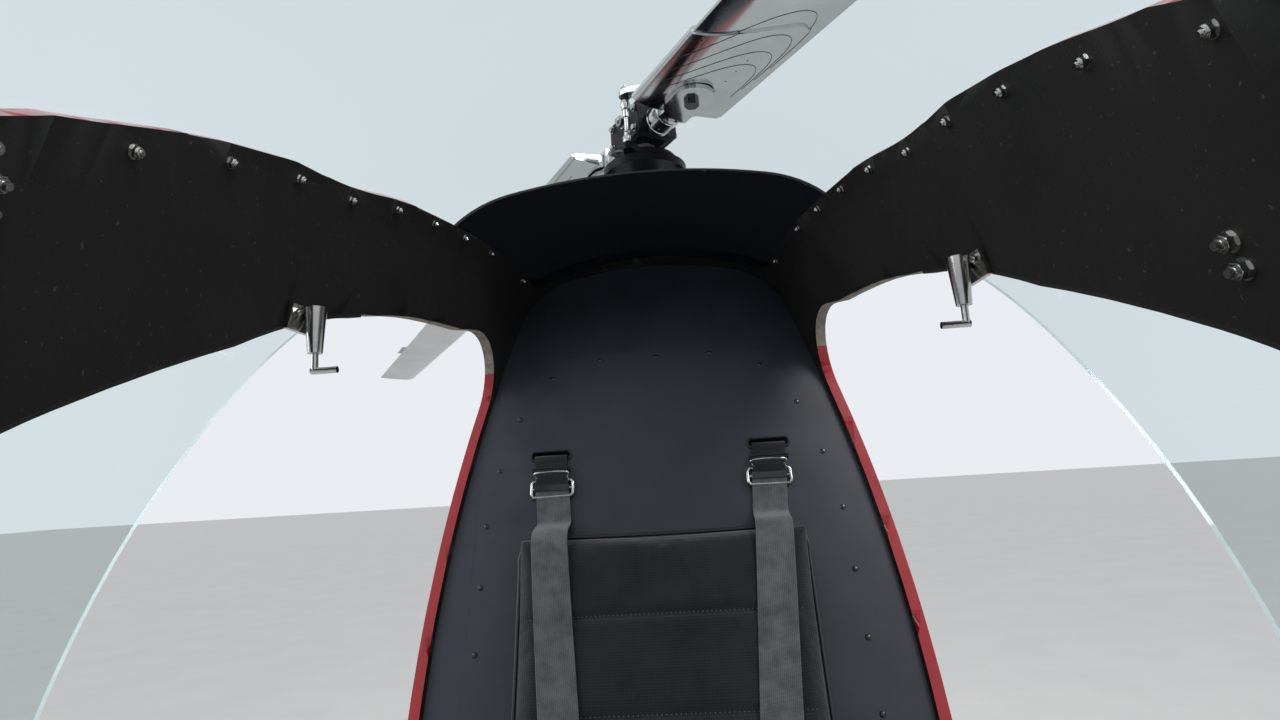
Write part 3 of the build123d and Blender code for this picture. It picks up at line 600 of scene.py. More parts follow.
def section_grid(rings):
    """Vertices and faces of a tube through rings of the same number of points, its two caps last."""
    count = len(rings[0])
    verts = [p for ring in rings for p in ring]
    faces = []
    for i in range(len(rings) - 1):
        for j in range(count):
            k = (j + 1) % count
            faces.append((i * count + j, i * count + k, (i + 1) * count + k, (i + 1) * count + j))
    faces.append(tuple(reversed(range(count))))
    faces.append(tuple(range((len(rings) - 1) * count, len(rings) * count)))
    return verts, faces


def tidy(mesh, angle=32):
    """Merges doubles, turns faces outwards and smooths."""
    form = opened(mesh)
    bmesh.ops.remove_doubles(form, verts=form.verts, dist=1e-7)
    bmesh.ops.recalc_face_normals(form, faces=form.faces)
    smooth(closed(form, mesh), angle)
    return mesh


def joined(name, parts, finish, body="root", angle=32):
    """One piece from several (vertices, faces) parts."""
    verts, faces = [], []
    for part_verts, part_faces in parts:
        base = len(verts)
        verts += part_verts
        faces += [tuple(base + i for i in face) for face in part_faces]
    return link(name, tidy(drawn(name, verts, faces, finish), angle), body)


def turned(profile, place, way, sides=40, spin=0.0):
    """A turned part: profile rows are (radius, distance along way from place), in millimetres."""
    lean = UPWARD.rotation_difference(Vector(way)).to_matrix()
    rings = []
    for radius, along in profile:
        r = max(radius, 0.01) * MM
        turns = [spin + 2 * math.pi * i / sides for i in range(sides)]
        ring = [Vector((r * math.cos(a), r * math.sin(a), along * MM)) for a in turns]
        rings.append([Vector(place) + lean @ p for p in ring])
    return section_grid(rings)


def hexed(place, way, across, low, high, spin=0.0):
    """Hexagon head or nut with chamfered corners; across is its width over flats in millimetres."""
    r = across / math.sqrt(3)
    edge = 0.12 * across
    profile = [(0.84 * r, low), (r, low + edge * 0.6), (r, high - edge), (0.84 * r, high)]
    return turned(profile, place, way, 6, spin)


def through(points, steps=8, ring=False):
    """Points on a smooth curve through the given ones (Catmull-Rom), open or as a ring."""
    points = [Vector(p) for p in points]
    if ring:
        ends = [points[-1]] + points + points[:2]
    else:
        ends = [2 * points[0] - points[1]] + points + [2 * points[-1] - points[-2]]
    line = []
    for a, b, c, d in zip(ends, ends[1:], ends[2:], ends[3:]):
        for j in range(steps):
            t = j / steps
            line.append(0.5 * (2 * b + (c - a) * t + (2 * a - 5 * b + 4 * c - d) * t * t
                               + (3 * b - a - 3 * c + d) * t ** 3))
    return line if ring else line + [points[-1]]


def rod(points, radius, sides=16, steps=8):
    """Round bar or wire along a smooth curve; radius in millimetres."""
    line = through(points, steps) if steps > 1 else [Vector(p) for p in points]
    rings = []
    side = None
    for i, p in enumerate(line):
        way = (line[min(i + 1, len(line) - 1)] - line[max(i - 1, 0)]).normalized()
        if side is None:
            side = way.orthogonal().normalized()
        side = (side - way * side.dot(way)).normalized()
        other = way.cross(side)
        rings.append([p + (side * math.cos(a) + other * math.sin(a)) * radius * MM
                      for a in (2 * math.pi * k / sides for k in range(sides))])
    return section_grid(rings)


# Webbing, in millimetres
STRAP_WIDE, STRAP_THICK = 48, 2.4


def strap(name, points, across, width, finish):
    """Flat webbing along a smooth curve. across is the width's direction; width in millimetres."""
    line = through(points)
    across = Vector(across).normalized()
    half, lip = width / 2 * MM, STRAP_THICK / 2 * MM
    outline = [(-half, 0.0), (-half + lip * 0.6, lip), (half - lip * 0.6, lip), (half, 0.0),
               (half - lip * 0.6, -lip), (-half + lip * 0.6, -lip)]
    rows, lengths, run = [], [], 0.0
    for i, p in enumerate(line):
        way = (line[min(i + 1, len(line) - 1)] - line[max(i - 1, 0)]).normalized()
        side = (across - way * across.dot(way)).normalized()
        face = side.cross(way)
        rows.append([p + side * u + face * v for u, v in outline])
        run += (line[i] - line[i - 1]).length if i else 0.0
        lengths.append(run)
    mesh = drawn(name, *section_grid(rows), finish)
    lay = mesh.uv_layers.new(name="lay")
    count = len(outline)
    for polygon in mesh.polygons:
        for corner in polygon.loop_indices:
            v = mesh.loops[corner].vertex_index
            lay.data[corner].uv = (outline[v % count][0], lengths[v // count])
    form = opened(mesh)
    bmesh.ops.recalc_face_normals(form, faces=form.faces)
    smooth(closed(form, mesh), 50)
    return link(name, mesh)


def fasteners(name, spots, stack, finish, body="root", seed=1, turn=True):
    """Screws, nuts or rivets by Geometry Nodes. spots are (place, outward way). Each row of stack is a
    short cone: name: (sides, foot radius, top radius, from, to), in millimetres."""
    ground = drawn(name, [p for p, way in spots], [])
    ways = ground.attributes.new("outward", "FLOAT_VECTOR", "POINT")
    ways.data.foreach_set("vector", [c for p, way in spots for c in way])
    piece = link(name, ground, None)
    tree = bpy.data.node_groups.new(name, "GeometryNodeTree")
    tree.interface.new_socket("Geometry", in_out="INPUT", socket_type="NodeSocketGeometry")
    tree.interface.new_socket("Geometry", in_out="OUTPUT", socket_type="NodeSocketGeometry")
    wanted = {}
    labels = ("sides", "foot radius", "top radius", "start", "depth")
    for row, (sides, foot, top, start, end) in stack.items():
        for label, value in zip(labels, (sides, foot * MM, top * MM, start * MM, (end - start) * MM)):
            kind = "Int" if label == "sides" else "Float"
            socket = tree.interface.new_socket(f"{row} {label}", in_out="INPUT",
                                               socket_type=f"NodeSocket{kind}")
            wanted[socket.identifier] = value
    given = add(tree, "NodeGroupInput")
    join = add(tree, "GeometryNodeJoinGeometry")
    for row in stack:
        size = {label: given.outputs[f"{row} {label}"] for label in labels}
        cone = add(tree, "GeometryNodeMeshCone", Vertices=size["sides"], Radius_Bottom=size["foot radius"],
                   Radius_Top=size["top radius"], Depth=size["depth"])
        lift = add(tree, "ShaderNodeCombineXYZ", Z=size["start"])
        moved = add(tree, "GeometryNodeTransform", Geometry=cone.outputs["Mesh"],
                    Translation=lift.outputs[0])
        tree.links.new(moved.outputs[0], join.inputs[0])
    way = add(tree, "GeometryNodeInputNamedAttribute", {"data_type": "FLOAT_VECTOR"}, Name="outward")
    leant = add(tree, "FunctionNodeAlignRotationToVector", {"axis": "Z"}, Vector=way.outputs[0])
    spin = add(tree, "FunctionNodeRandomValue", {"data_type": "FLOAT"}, Min=0.0,
               Max=math.pi if turn else 0.0, Seed=seed)
    about = add(tree, "FunctionNodeAxisAngleToRotation", Axis=(0, 0, 1), Angle=spin.outputs[1])
    placed = add(tree, "FunctionNodeRotateRotation", {"rotation_space": "LOCAL"}, Rotation=leant.outputs[0],
                 Rotate_By=about.outputs[0])
    made = add(tree, "GeometryNodeInstanceOnPoints", Points=given.outputs["Geometry"],
               Instance=join.outputs[0], Rotation=placed.outputs[0])
    real = add(tree, "GeometryNodeRealizeInstances", Geometry=made.outputs[0])
    coated_all = add(tree, "GeometryNodeSetMaterial", Geometry=real.outputs[0], Material=finish)
    add(tree, "NodeGroupOutput", Geometry=coated_all.outputs[0])
    grow = piece.modifiers.new("grow", "NODES")
    grow.node_group = tree
    for key, value in wanted.items():
        grow[key] = value
    bpy.context.view_layer.update()
    mesh = evaluated(piece)
    piece.modifiers.remove(grow)
    piece.data = mesh
    mesh.name = name
    smooth(mesh, 32)
    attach(piece, body)
    return piece


SHELL = tree_of(cabin_skin)
COWL = tree_of(cowl_skin)
CANOPY = tree_of(canopy_glazing)


def opening_edge(y, side):
    """Distance of the canopy opening's edge from the middle, at y."""
    near, far = 0.0, 0.36
    for i in range(18):
        x = (near + far) / 2
        if struck(SHELL, (side * x, y, 0.75), (0, 0, 1)):
            far = x
        else:
            near = x
    return far


def edge_row(inset, gap, first_y, last_y, side):
    """Plan points along the canopy's edge, inset outwards from it, gap apart."""
    line = []
    y = last_y
    while y > first_y:
        line.append(Vector((side * (opening_edge(y, side) + inset), y)))
        y -= 0.01
    spots, carried = [line[0]], 0.0
    for a, b in zip(line, line[1:]):
        carried += (b - a).length
        if carried >= gap:
            spots.append(b)
            carried = 0.0
    return spots


# Canopy nuts: how far below the edge of the opening, how far apart, and where the row ends
NUT_INSET, NUT_GAP = 0.0048, 0.080
NUTS_FROM, NUTS_TO = -1.44, -0.166
inside_nuts, outside_heads = [], []
for side in (-1, 1):
    for spot in edge_row(NUT_INSET, NUT_GAP, NUTS_FROM, NUTS_TO, side):
        within = struck(SHELL, (spot.x, spot.y, 0.8), (0, 0, 1))
        if within and within[1].z < -0.05:
            inside_nuts.append(within)
            above = struck(CANOPY, within[0] - within[1] * 0.06, within[1])
            if above and above[1].dot(within[1]) < -0.8:
                outside_heads.append((above[0] + above[1] * 0.0002, above[1]))
NUT = {"washer": (24, 4.9, 4.8, 0, 0.8), "hexagon": (6, 4.1, 4.1, 0.8, 3.8),
       "collar": (20, 3.5, 3.0, 3.8, 5.2), "stud": (14, 2.0, 1.6, 5.2, 6.4)}
SCREW = {"flange": (24, 4.6, 4.4, 0, 0.5), "dome": (24, 4.3, 3.6, 0.5, 1.7),
         "crown": (24, 3.6, 1.6, 1.7, 2.5)}
fasteners("canopy_nuts", inside_nuts, NUT, STAINLESS, seed=3)
fasteners("canopy_screws", outside_heads, SCREW, STAINLESS, seed=4)


# The bulkhead leans back from its foot, the seat pan slopes aft, and blade a points ahead and to port
LEAN = math.radians(20.7)
SEAT_TILT = math.atan(0.08)
FOOT_Y, BULK_FOOT_Z, SEAT_FOOT_Z = -0.460, 0.300, 0.2303
HEADING = math.radians(32.0)
PORT = Vector((1, 0, 0))
OUT = Vector((math.sin(HEADING), -math.cos(HEADING), 0))
LEADING = Vector((-math.cos(HEADING), -math.sin(HEADING), 0))


def on_bulk(x, up, off):
    """A place on the leaning bulkhead: across, up along the panel, and off its front face."""
    return Vector((x, FOOT_Y + up * math.sin(LEAN) - off * math.cos(LEAN),
                   BULK_FOOT_Z + up * math.cos(LEAN) + off * math.sin(LEAN)))


def on_seat(x, back, up):
    """A place on the seat pan: across, aft from the bulkhead's foot, and up."""
    return Vector((x, FOOT_Y + back * math.cos(SEAT_TILT) + up * math.sin(SEAT_TILT),
                   SEAT_FOOT_Z - back * math.sin(SEAT_TILT) + up * math.cos(SEAT_TILT)))


def on_rotor(out, lead, z, turn=0):
    """A place on the rotor: out along blade a or b, towards its leading edge, and its height."""
    way = 1 if turn == 0 else -1
    return (OUT * out + LEADING * lead) * way + Vector((0, 0, z))


BULK_OFF = (on_bulk(0, 0, 1) - on_bulk(0, 0, 0)).normalized()
BULK_UP = (on_bulk(0, 1, 0) - on_bulk(0, 0, 0)).normalized()
SEAT_OFF = (on_seat(0, 0, 1) - on_seat(0, 0, 0)).normalized()
SEAT_AFT = (on_seat(0, 1, 0) - on_seat(0, 0, 0)).normalized()


def rounded(width, height, radius, steps=5):
    """Outline of a rounded rectangle, in millimetres."""
    line = []
    for cx, cy, start in ((1, 1, 0), (-1, 1, 90), (-1, -1, 180), (1, -1, 270)):
        for i in range(steps + 1):
            a = math.radians(start + 90 * i / steps)
            line.append((cx * (width / 2 - radius) + radius * math.cos(a),
                         cy * (height / 2 - radius) + radius * math.sin(a)))
    return line


def plate(place, across, along, outline, low, high, chamfer=0.4):
    """A flat part with chamfered rims: outline in millimetres, low and high along its own normal."""
    across = Vector(across).normalized()
    normal = across.cross(Vector(along)).normalized()
    along = normal.cross(across)
    reach = max(max(abs(u), abs(v)) for u, v in outline)
    small = max(0.2, 1 - chamfer / reach)
    rings = []
    for share, height in ((small, low), (1.0, low + chamfer), (1.0, high - chamfer), (small, high)):
        rings.append([Vector(place) + (across * u * share + along * v * share + normal * height) * MM
                      for u, v in outline])
    return section_grid(rings)


def loop(points, radius, sides=12, steps=6):
    """A closed ring of wire through the points; radius in millimetres."""
    line = through(points, steps, True)
    total = len(line)
    middle = sum(line, Vector()) / total
    normal = sum(((line[i] - middle).cross(line[(i + 1) % total] - middle) for i in range(total)),
                 Vector()).normalized()
    verts, faces = [], []
    for i, p in enumerate(line):
        way = (line[(i + 1) % total] - line[i - 1]).normalized()
        side = way.cross(normal).normalized()
        for k in range(sides):
            a = 2 * math.pi * k / sides
            verts.append(p + (side * math.cos(a) + normal * math.sin(a)) * radius * MM)
    for i in range(total):
        for k in range(sides):
            n, m = (i + 1) % total, (k + 1) % sides
            faces.append((i * sides + k, i * sides + m, n * sides + m, n * sides + k))
    return verts, faces


def framed(place, across, along, width, height, radius, bar):
    """A closed wire frame with rounded corners, sizes in millimetres."""
    across, along = Vector(across).normalized(), Vector(along).normalized()
    corners = rounded(width, height, radius, 3)
    return loop([Vector(place) + (across * u + along * v) * MM for u, v in corners], bar, 12, 2)


def places_of(mesh):
    """Vertex places as rows."""
    flat = np.empty(len(mesh.vertices) * 3, np.float32)
    mesh.vertices.foreach_get("co", flat)
    return flat.reshape(-1, 3)


def padded_form(name, place, half_wide, length, thick, crown, channels, cap):
    """A cushion: a crowned closed form, swollen by cloth simulation, with sewn channels pressed in.
    place(x, along, up) gives a point; sizes in metres. Returns its mesh."""
    def profile(u, v):
        """Height share over the plan, 1 in the middle and less along the rims."""
        rim = max(0.0, 1 - abs(u) ** 3.2) * max(0.0, 1 - abs(v) ** 5)
        return 1 - crown + crown * rim ** 0.45

    count_u, count_v = 44, 60
    rows = []
    for j in range(count_v + 1):
        v = -1 + 2 * j / count_v
        row = []
        for i in range(count_u + 1):
            u = -1 + 2 * i / count_u
            # The sides pull in between the corners
            pull_u = 1 - 0.020 * (1 - v * v)
            pull_v = 1 - 0.012 * (1 - u * u)
            along = length / 2 + v * pull_v * length / 2
            row.append((u * pull_u * half_wide, along, thick * profile(u, v)))
        rows.append(row)
    verts, faces = [], []
    wide = count_u + 1
    for level in (0, 1):
        for row in rows:
            for x, y, z in row:
                verts.append(place(x, y, z if level else 0.0))
    flat = wide * (count_v + 1)
    for j in range(count_v):
        for i in range(count_u):
            a = j * wide + i
            faces.append((a, a + wide, a + wide + 1, a + 1))
            b = a + flat
            faces.append((b, b + 1, b + wide + 1, b + wide))
    rim = list(range(wide)) + [j * wide + count_u for j in range(1, count_v + 1)]
    rim += [count_v * wide + i for i in range(count_u - 1, -1, -1)]
    rim += [j * wide for j in range(count_v - 1, 0, -1)]
    for a, b in zip(rim, rim[1:] + rim[:1]):
        faces.append((a, b, b + flat, a + flat))
    pad = bpy.data.objects.new(name, tidy(drawn(name, verts, faces), 180))
    bpy.context.scene.collection.objects.link(pad)
    remesh = pad.modifiers.new("even", "REMESH")
    remesh.mode = "VOXEL"
    remesh.voxel_size = 0.005
    even = evaluated(pad)
    pad.modifiers.remove(remesh)
    pad.data = even
    before = places_of(even)
    cloth = pad.modifiers.new("swell", "CLOTH")
    cloth.settings.quality = 4
    cloth.settings.mass = 0.3
    cloth.settings.use_pressure = True
    cloth.settings.uniform_pressure_force = 4.0
    cloth.settings.tension_stiffness = 18
    cloth.settings.compression_stiffness = 18
    cloth.settings.effector_weights.gravity = 0
    cloth.point_cache.frame_end = 20
    for frame_number in range(1, 21):
        bpy.context.scene.frame_set(frame_number)
    after = places_of(evaluated(pad))
    pad.modifiers.remove(cloth)
    bpy.context.scene.frame_set(1)
    if after.shape == before.shape:
        move = after - before
        far = np.linalg.norm(move, axis=1, keepdims=True)
        before = before + move * np.minimum(1.0, cap / np.maximum(far, 1e-9))
    origin = np.array(place(0, 0, 0))
    axes = np.array([np.array(place(*d)) - origin for d in ((1, 0, 0), (0, 1, 0), (0, 0, 1))])
    local = (before - origin) @ axes.T
    local[:, 0] = np.clip(local[:, 0], -half_wide - 0.004, half_wide + 0.004)
    local[:, 2] = np.maximum(local[:, 2], 0.0003)
    top = np.clip((local[:, 2] - 0.35 * thick) / (0.4 * thick), 0, 1)
    inner = np.clip((half_wide - np.abs(local[:, 0])) / 0.03, 0, 1)
    for at in channels:
        local[:, 2] -= 0.0045 * np.exp(-((local[:, 1] - at) / 0.005) ** 2) * top * inner
    even.vertices.foreach_set("co", (origin + local @ axes).astype(np.float32).ravel())
    even.update()
    subdivision = pad.modifiers.new("round", "SUBSURF")
    subdivision.levels = subdivision.render_levels = 1
    fine = evaluated(pad)
    pad.modifiers.remove(subdivision)
    bpy.data.objects.remove(pad)
    fine.name = name
    smooth(fine, 180)
    return fine


def rim_line(place, half_wide, length, height, pull_u=0.020, pull_v=0.012, radius=0.03, steps=14):
    """Points round a cushion's plan at one height."""
    line = []
    corners = ((1, 1, 0), (-1, 1, 90), (-1, -1, 180), (1, -1, 270))
    for index, (cx, cy, start) in enumerate(corners):
        for i in range(4):
            a = math.radians(start + 90 * i / 3)
            line.append((cx * (half_wide - radius) + radius * math.cos(a),
                         length / 2 + cy * (length / 2 - radius) + radius * math.sin(a)))
        nx, ny = corners[(index + 1) % 4][:2]
        for i in range(1, steps):
            t = i / steps
            bow = 4 * t * (1 - t)
            x = (cx + (nx - cx) * t) * half_wide
            y = length / 2 + (cy + (ny - cy) * t) * length / 2
            if cx == nx:
                x = cx * half_wide * (1 - pull_u * bow)
                if abs(y - length / 2) > length / 2 - radius:
                    continue
            else:
                y = length / 2 + cy * length / 2 * (1 - pull_v * bow)
                if abs(x) > half_wide - radius:
                    continue
            line.append((x, y))
    return [place(x, y, height) for x, y in line]


# The cushions: half width, front edge of the seat cushion, foot of the back cushion, and the cover under it
PAD_HALF, SEAT_FRONT, BACK_FOOT, COVER_THICK = 0.193, 0.471, 0.036, 0.0047


def seat_place(x, along, up):
    """Seat cushion: along runs aft from its front edge."""
    return on_seat(x, along - SEAT_FRONT, up)


def back_place(x, along, up):
    """Back cushion: along runs up the bulkhead."""
    return on_bulk(x, along + BACK_FOOT, up + COVER_THICK)


def cushion(node, place, length, thick, channels, cloth):
    """The sewn pad that stands for a cushion, with its piping and stitches. Returns its ray tree."""
    name = node + "_pad"
    mesh = padded_form(name, place, PAD_HALF, length, thick, 0.38, channels, 0.006)
    mesh.materials.clear()
    mesh.materials.append(cloth)
    piece = link(name, mesh)
    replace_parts(piece, node)
    tree = tree_of(piece)
    seam = rim_line(lambda x, along, up: place(x, along + 0.0025, up),
                    PAD_HALF - 0.003, length - 0.005, thick * 0.60)
    joined(name + "_piping", [loop(seam, 2.6, 10, 3)], VINYL, angle=60)
    threads = []
    off = (place(0, 0, 1) - place(0, 0, 0)).normalized()
    for at in channels:
        x = -PAD_HALF + 0.02
        while x < PAD_HALF - 0.02:
            threads += met(tree, [(place(x, at, 0.2), -off)])
            x += 0.0055
    fasteners(name + "_stitches", threads, {"thread": (6, 0.9, 0.5, -0.3, 0.35)}, THREAD, turn=False)
    return tree


SEAT_TREE = cushion("seat_cushion", seat_place, 0.430, 0.056, (0.13, 0.25, 0.36), SEAT_CLOTH)
BACK_TREE = cushion("back_cushion", back_place, 0.580, 0.054, (0.12, 0.24, 0.36, 0.47), BACK_CLOTH)


def off_cushion(tree, place, x, along):
    """Height of a cushion over its foot there, where webbing lies across its highest spots."""
    off = (place(0, 0, 1) - place(0, 0, 0)).normalized()
    heights = []
    for dx in (-0.021, 0.0, 0.021):
        for dy in (-0.018, 0.0, 0.018):
            found = tree.ray_cast(place(x + dx, along + dy, 0.2), -off)
            if found[0] is not None:
                heights.append(0.2 - found[3])
    return max(heights, default=0.05)


def over_seat(x, back, lift):
    """A place that far over the seat cushion."""
    return on_seat(x, back, off_cushion(SEAT_TREE, seat_place, x, back + SEAT_FRONT) + lift)


# Four-point harness, whose webbing lies on the cushions. Up is along the bulkhead, off is from its face
BUCKLE_BACK = -0.1505
SLOT_X, SLOT_UP, BELT_FOOT_X = 0.160, 0.745, 0.092
WIRE_UP = 0.692


def belt_x(up, side):
    """The shoulder belts run closer together from the slots down to the seat."""
    return side * (SLOT_X - (SLOT_X - BELT_FOOT_X) * (SLOT_UP - up) / 0.713)


for side, hand in ((1, "port"), (-1, "starboard")):
    def along_belt(rows, side=side):
        return [on_bulk(belt_x(up, side), up, off) for up, off in rows]

    through_slot = ((0.752, -0.014), (0.7455, -0.002), (0.742, 0.0062))
    upper = [on_bulk(side * SLOT_X, up, off) for up, off in through_slot]
    upper += along_belt(((0.725, 0.0068), (0.705, 0.0074), (0.692, 0.0085)))
    strap(f"shoulder_strap_{hand}", upper, PORT, STRAP_WIDE, WEBBING_BLACK)
    fold = along_belt(((0.694, 0.0118), (0.708, 0.0112), (0.730, 0.0102)))
    strap(f"shoulder_fold_{hand}", fold, PORT, STRAP_WIDE - 1, WEBBING_BLACK)
    keeper_at = on_bulk(belt_x(0.722, side), 0.722, 0.0082)
    bands = [framed(keeper_at - BULK_UP * down, PORT, BULK_OFF, 53, 9.5, 2.5, 1.3)
             for down in (0.0, 0.0032)]
    joined(f"strap_keeper_{hand}", bands, RUBBER, angle=60)
    lower = along_belt(((0.690, 0.0128), (0.678, 0.0100), (0.660, 0.0088), (0.640, 0.0130)))
    for up in (0.618, 0.600, 0.575, 0.54, 0.50, 0.45, 0.40, 0.35, 0.30, 0.25, 0.20, 0.15, 0.11, 0.075):
        x = belt_x(up, side)
        rise = off_cushion(BACK_TREE, back_place, x, min(up - BACK_FOOT, 0.560)) + COVER_THICK
        lower.append(on_bulk(x, up, (0.8 if up > 0.60 else 1.0) * rise + 0.0022))
    # From the foot of the back cushion down to the seat and forward to the buckle
    for back, x, lift in ((-0.074, 0.082, 0.016), (-0.092, 0.070, 0.006), (-0.112, 0.054, 0.0030),
                          (-0.126, 0.044, 0.0032)):
        lower.append(over_seat(side * x, back, lift))
    belts = [strap(f"shoulder_webbing_{hand}", lower, PORT, STRAP_WIDE, WEBBING)]
    centre = on_bulk(belt_x(WIRE_UP, side), WIRE_UP, 0.0102)
    frame_wire = framed(centre, PORT, BULK_UP, 60, 24, 6, 2.3)
    middle_bar = rod([centre - PORT * 0.0295, centre + PORT * 0.0295], 2.1, 12, 1)
    belts.append(joined(f"adjuster_{hand}", [frame_wire, middle_bar], STAINLESS, angle=50))
    slide = plate(centre + BULK_OFF * 0.0036 - BULK_UP * 0.0005, PORT, BULK_UP, rounded(50, 9, 2.0),
                  -1.2, 1.6, 0.5)
    joined(f"adjuster_slide_{hand}", [slide], ENAMEL)
    tab = [centre + BULK_UP * 0.013 + BULK_OFF * 0.004 + PORT * (u * 0.022) for u in (-1, 1)]
    ends = [spot + BULK_OFF * 0.010 + BULK_UP * 0.006 for spot in tab]
    joined(f"adjuster_wire_{hand}", [rod([tab[0], *ends, tab[1]], 1.6, 10, 5)], STAINLESS, angle=60)

    lap = [over_seat(side * x, BUCKLE_BACK, 0.0022) for x in (0.060, 0.085, 0.115, 0.145, 0.170, 0.184)]
    lap += [on_seat(side * x, BUCKLE_BACK, up)
            for x, up in ((0.1985, 0.034), (0.1992, 0.018), (0.1992, 0.0015))]
    belts.append(strap(f"lap_webbing_{hand}", lap, SEAT_AFT, STRAP_WIDE, WEBBING))
    if side == 1:
        for belt, node in zip(belts, ("shoulder_belts", "harness_adjusters", "lap_belts")):
            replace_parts(belt, node)
    spot = over_seat(side * 0.110, BUCKLE_BACK, 0.0052)
    lap_wire = [framed(spot, PORT, SEAT_AFT, 30, 58, 5, 2.2),
                rod([spot - SEAT_AFT * 0.028, spot + SEAT_AFT * 0.028], 2.0, 12, 1)]
    joined(f"lap_adjuster_{hand}", lap_wire, STAINLESS, angle=50)
    for label, x, back, turn in (("lap", 0.044, BUCKLE_BACK, 0.0),
                                 ("shoulder", 0.036, BUCKLE_BACK + 0.032, 0.85)):
        across = (PORT * side * math.cos(turn) + SEAT_AFT * math.sin(turn)).normalized()
        tongue = plate(over_seat(side * x, back, 0.0052), across, SEAT_OFF.cross(across),
                       rounded(44, 50, 8), -1.2, 1.2, 0.5)
        joined(f"{label}_tongue_{hand}", [tongue], STAINLESS)

spot = over_seat(0, BUCKLE_BACK, 0.0006)
case = turned([(28.5, 0), (31, 1.5), (31, 9), (29.5, 11.5), (25, 12.6), (0, 12.8)], spot, SEAT_OFF, 64)
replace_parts(joined("rotary_buckle", [case], ENAMEL), "harness_buckle")
dial = turned([(22, 12.6), (22, 15), (20.5, 16.4), (8, 16.8), (0, 16.8)], spot, SEAT_OFF, 48)
wing = plate(spot, PORT, SEAT_AFT, rounded(42, 9, 4.4), 15, 22, 1.4)
joined("buckle_dial", [dial, wing], STAINLESS)

# Rotor head: turned grip sleeves, bolts on the hub, ball joints on the links and clamps on the boot
HUB_Z, TEETER_Z, MAST_TOP = 1.600, 1.622, 1.640
# Half the hub's width, and where the sleeves start and end along the blades
HEAD_HALF, SLEEVE_START, SLEEVE_END = 0.040, 0.0561, 0.106
# The horns' eyes, their underside, and the top of the rotating swashplate
HORN_OUT, HORN_LEAD, HORN_FOOT = 0.052, 0.062, 1.632
PLATE_TOP = 1.5495
sleeve = [(20, 0), (25.5, 0.2), (27.4, 2.2), (27.4, 9), (26.2, 9.8), (26.2, 11.6), (27.4, 12.4), (27.4, 41),
          (26.2, 42), (26.2, 44), (27.4, 45), (27.4, 47.5), (25.0, 49.8), (20, 49.9)]
sleeves = [turned(sleeve, UPWARD * HUB_Z + way * SLEEVE_START, way, 72) for way in (OUT, -OUT)]
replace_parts(joined("grip_sleeves", sleeves, POLISHED, "teeter", 28), "grip_barrels")
hub_bolts, hub_dark = [], []
for turn, outward in enumerate((OUT, -OUT)):
    way = LEADING if turn == 0 else -LEADING
    for spot in [on_rotor(out, HEAD_HALF, z, turn) for out in (-0.044, 0.044) for z in (1.589, 1.628)]:
        hub_bolts.append(turned([(6.2, 0), (6.6, 0.6), (6.6, 1.5), (6.0, 1.6)], spot, way, 28))
        hub_bolts.append(hexed(spot, way, 10, 1.6, 7.4, 0.3))
    spot = on_rotor(0, HEAD_HALF, TEETER_Z, turn)
    hub_bolts.append(turned([(12.5, 0), (13, 0.5), (13, 2.2), (12.4, 2.6)], spot, way, 36))
    hub_bolts.append(hexed(spot, way, 19, 2.6, 12.5, 0.1))
    hub_bolts.append(turned([(6, 12.5), (6, 15.2), (5, 16.2), (2, 16.4)], spot, way, 24))
    # A ring of small screws on each sleeve's end
    for k in range(8):
        a = math.radians(22.5 + 45 * k)
        around = LEADING * math.cos(a) + UPWARD * math.sin(a)
        spot = UPWARD * HUB_Z + outward * SLEEVE_END + around * 0.0233
        screw = [(2.6, 0), (2.6, 1.2), (2.1, 1.8), (1.4, 1.8), (1.3, 0.9)]
        hub_dark.append(turned(screw, spot - outward * 0.0003, outward, 16))
joined("hub_bolts", hub_bolts, BRIGHT_STEEL, "teeter")
joined("sleeve_screws", hub_dark, ENAMEL, "teeter")

horn_parts, cups, boots = [], [], []
for turn in (0, 1):
    eye = on_rotor(HORN_OUT, HORN_LEAD, 1.6397, turn)
    horn_parts.append(turned([(8.5, 10.1), (9, 10.6), (9, 11.6), (8.4, 12)], eye, UPWARD, 28))
    horn_parts.append(hexed(eye, UPWARD, 13, 12, 19, 0.2 + turn))
    horn_parts.append(turned([(4, 19), (4, 22), (3.2, 23), (1, 23.1)], eye, UPWARD, 20))
    for out, lead in ((0.132, 0.030), (0.158, 0.029), (0.184, 0.029)):
        horn_parts.append(hexed(on_rotor(out, lead, 1.6297, turn), UPWARD, 8, 0.1, 5.2, 0.4))
    cup = on_rotor(HORN_OUT, HORN_LEAD, HORN_FOOT, turn)
    cups.append(turned([(4.2, -34), (6.5, -32), (6.5, -22), (5, -20.5), (5, -19), (7.6, -17), (8.6, -12),
                        (8.6, -3.2), (7.8, -0.8), (5, -0.2), (2, -0.1)], cup, UPWARD, 36))
    foot = on_rotor(HORN_OUT, HORN_LEAD, PLATE_TOP, turn)
    cups.append(turned([(7.4, 0.1), (8.2, 1.0), (8.2, 11), (6.6, 14), (5.2, 15), (5.2, 19), (4.2, 20)],
                       foot, UPWARD, 32))
    cups.append(hexed(foot, UPWARD, 11, 20, 25, 0.7))
    boots.append(turned([(5.5, 0.2), (7.2, 1.2), (6.2, 2.2), (7.6, 3.4), (6.4, 4.6), (7.6, 5.8), (6.2, 7.0),
                         (5.8, 7.5)], cup, UPWARD, 28))
joined("horn_bolts", horn_parts, STAINLESS, "teeter")
joined("link_ball_joints", cups, BRIGHT_STEEL, "rotor")
for turn, dust in enumerate(boots):
    boot = joined(f"ball_joint_boot_{'ab'[turn]}", [dust], RUBBER, "teeter", 60)
    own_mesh(boot)


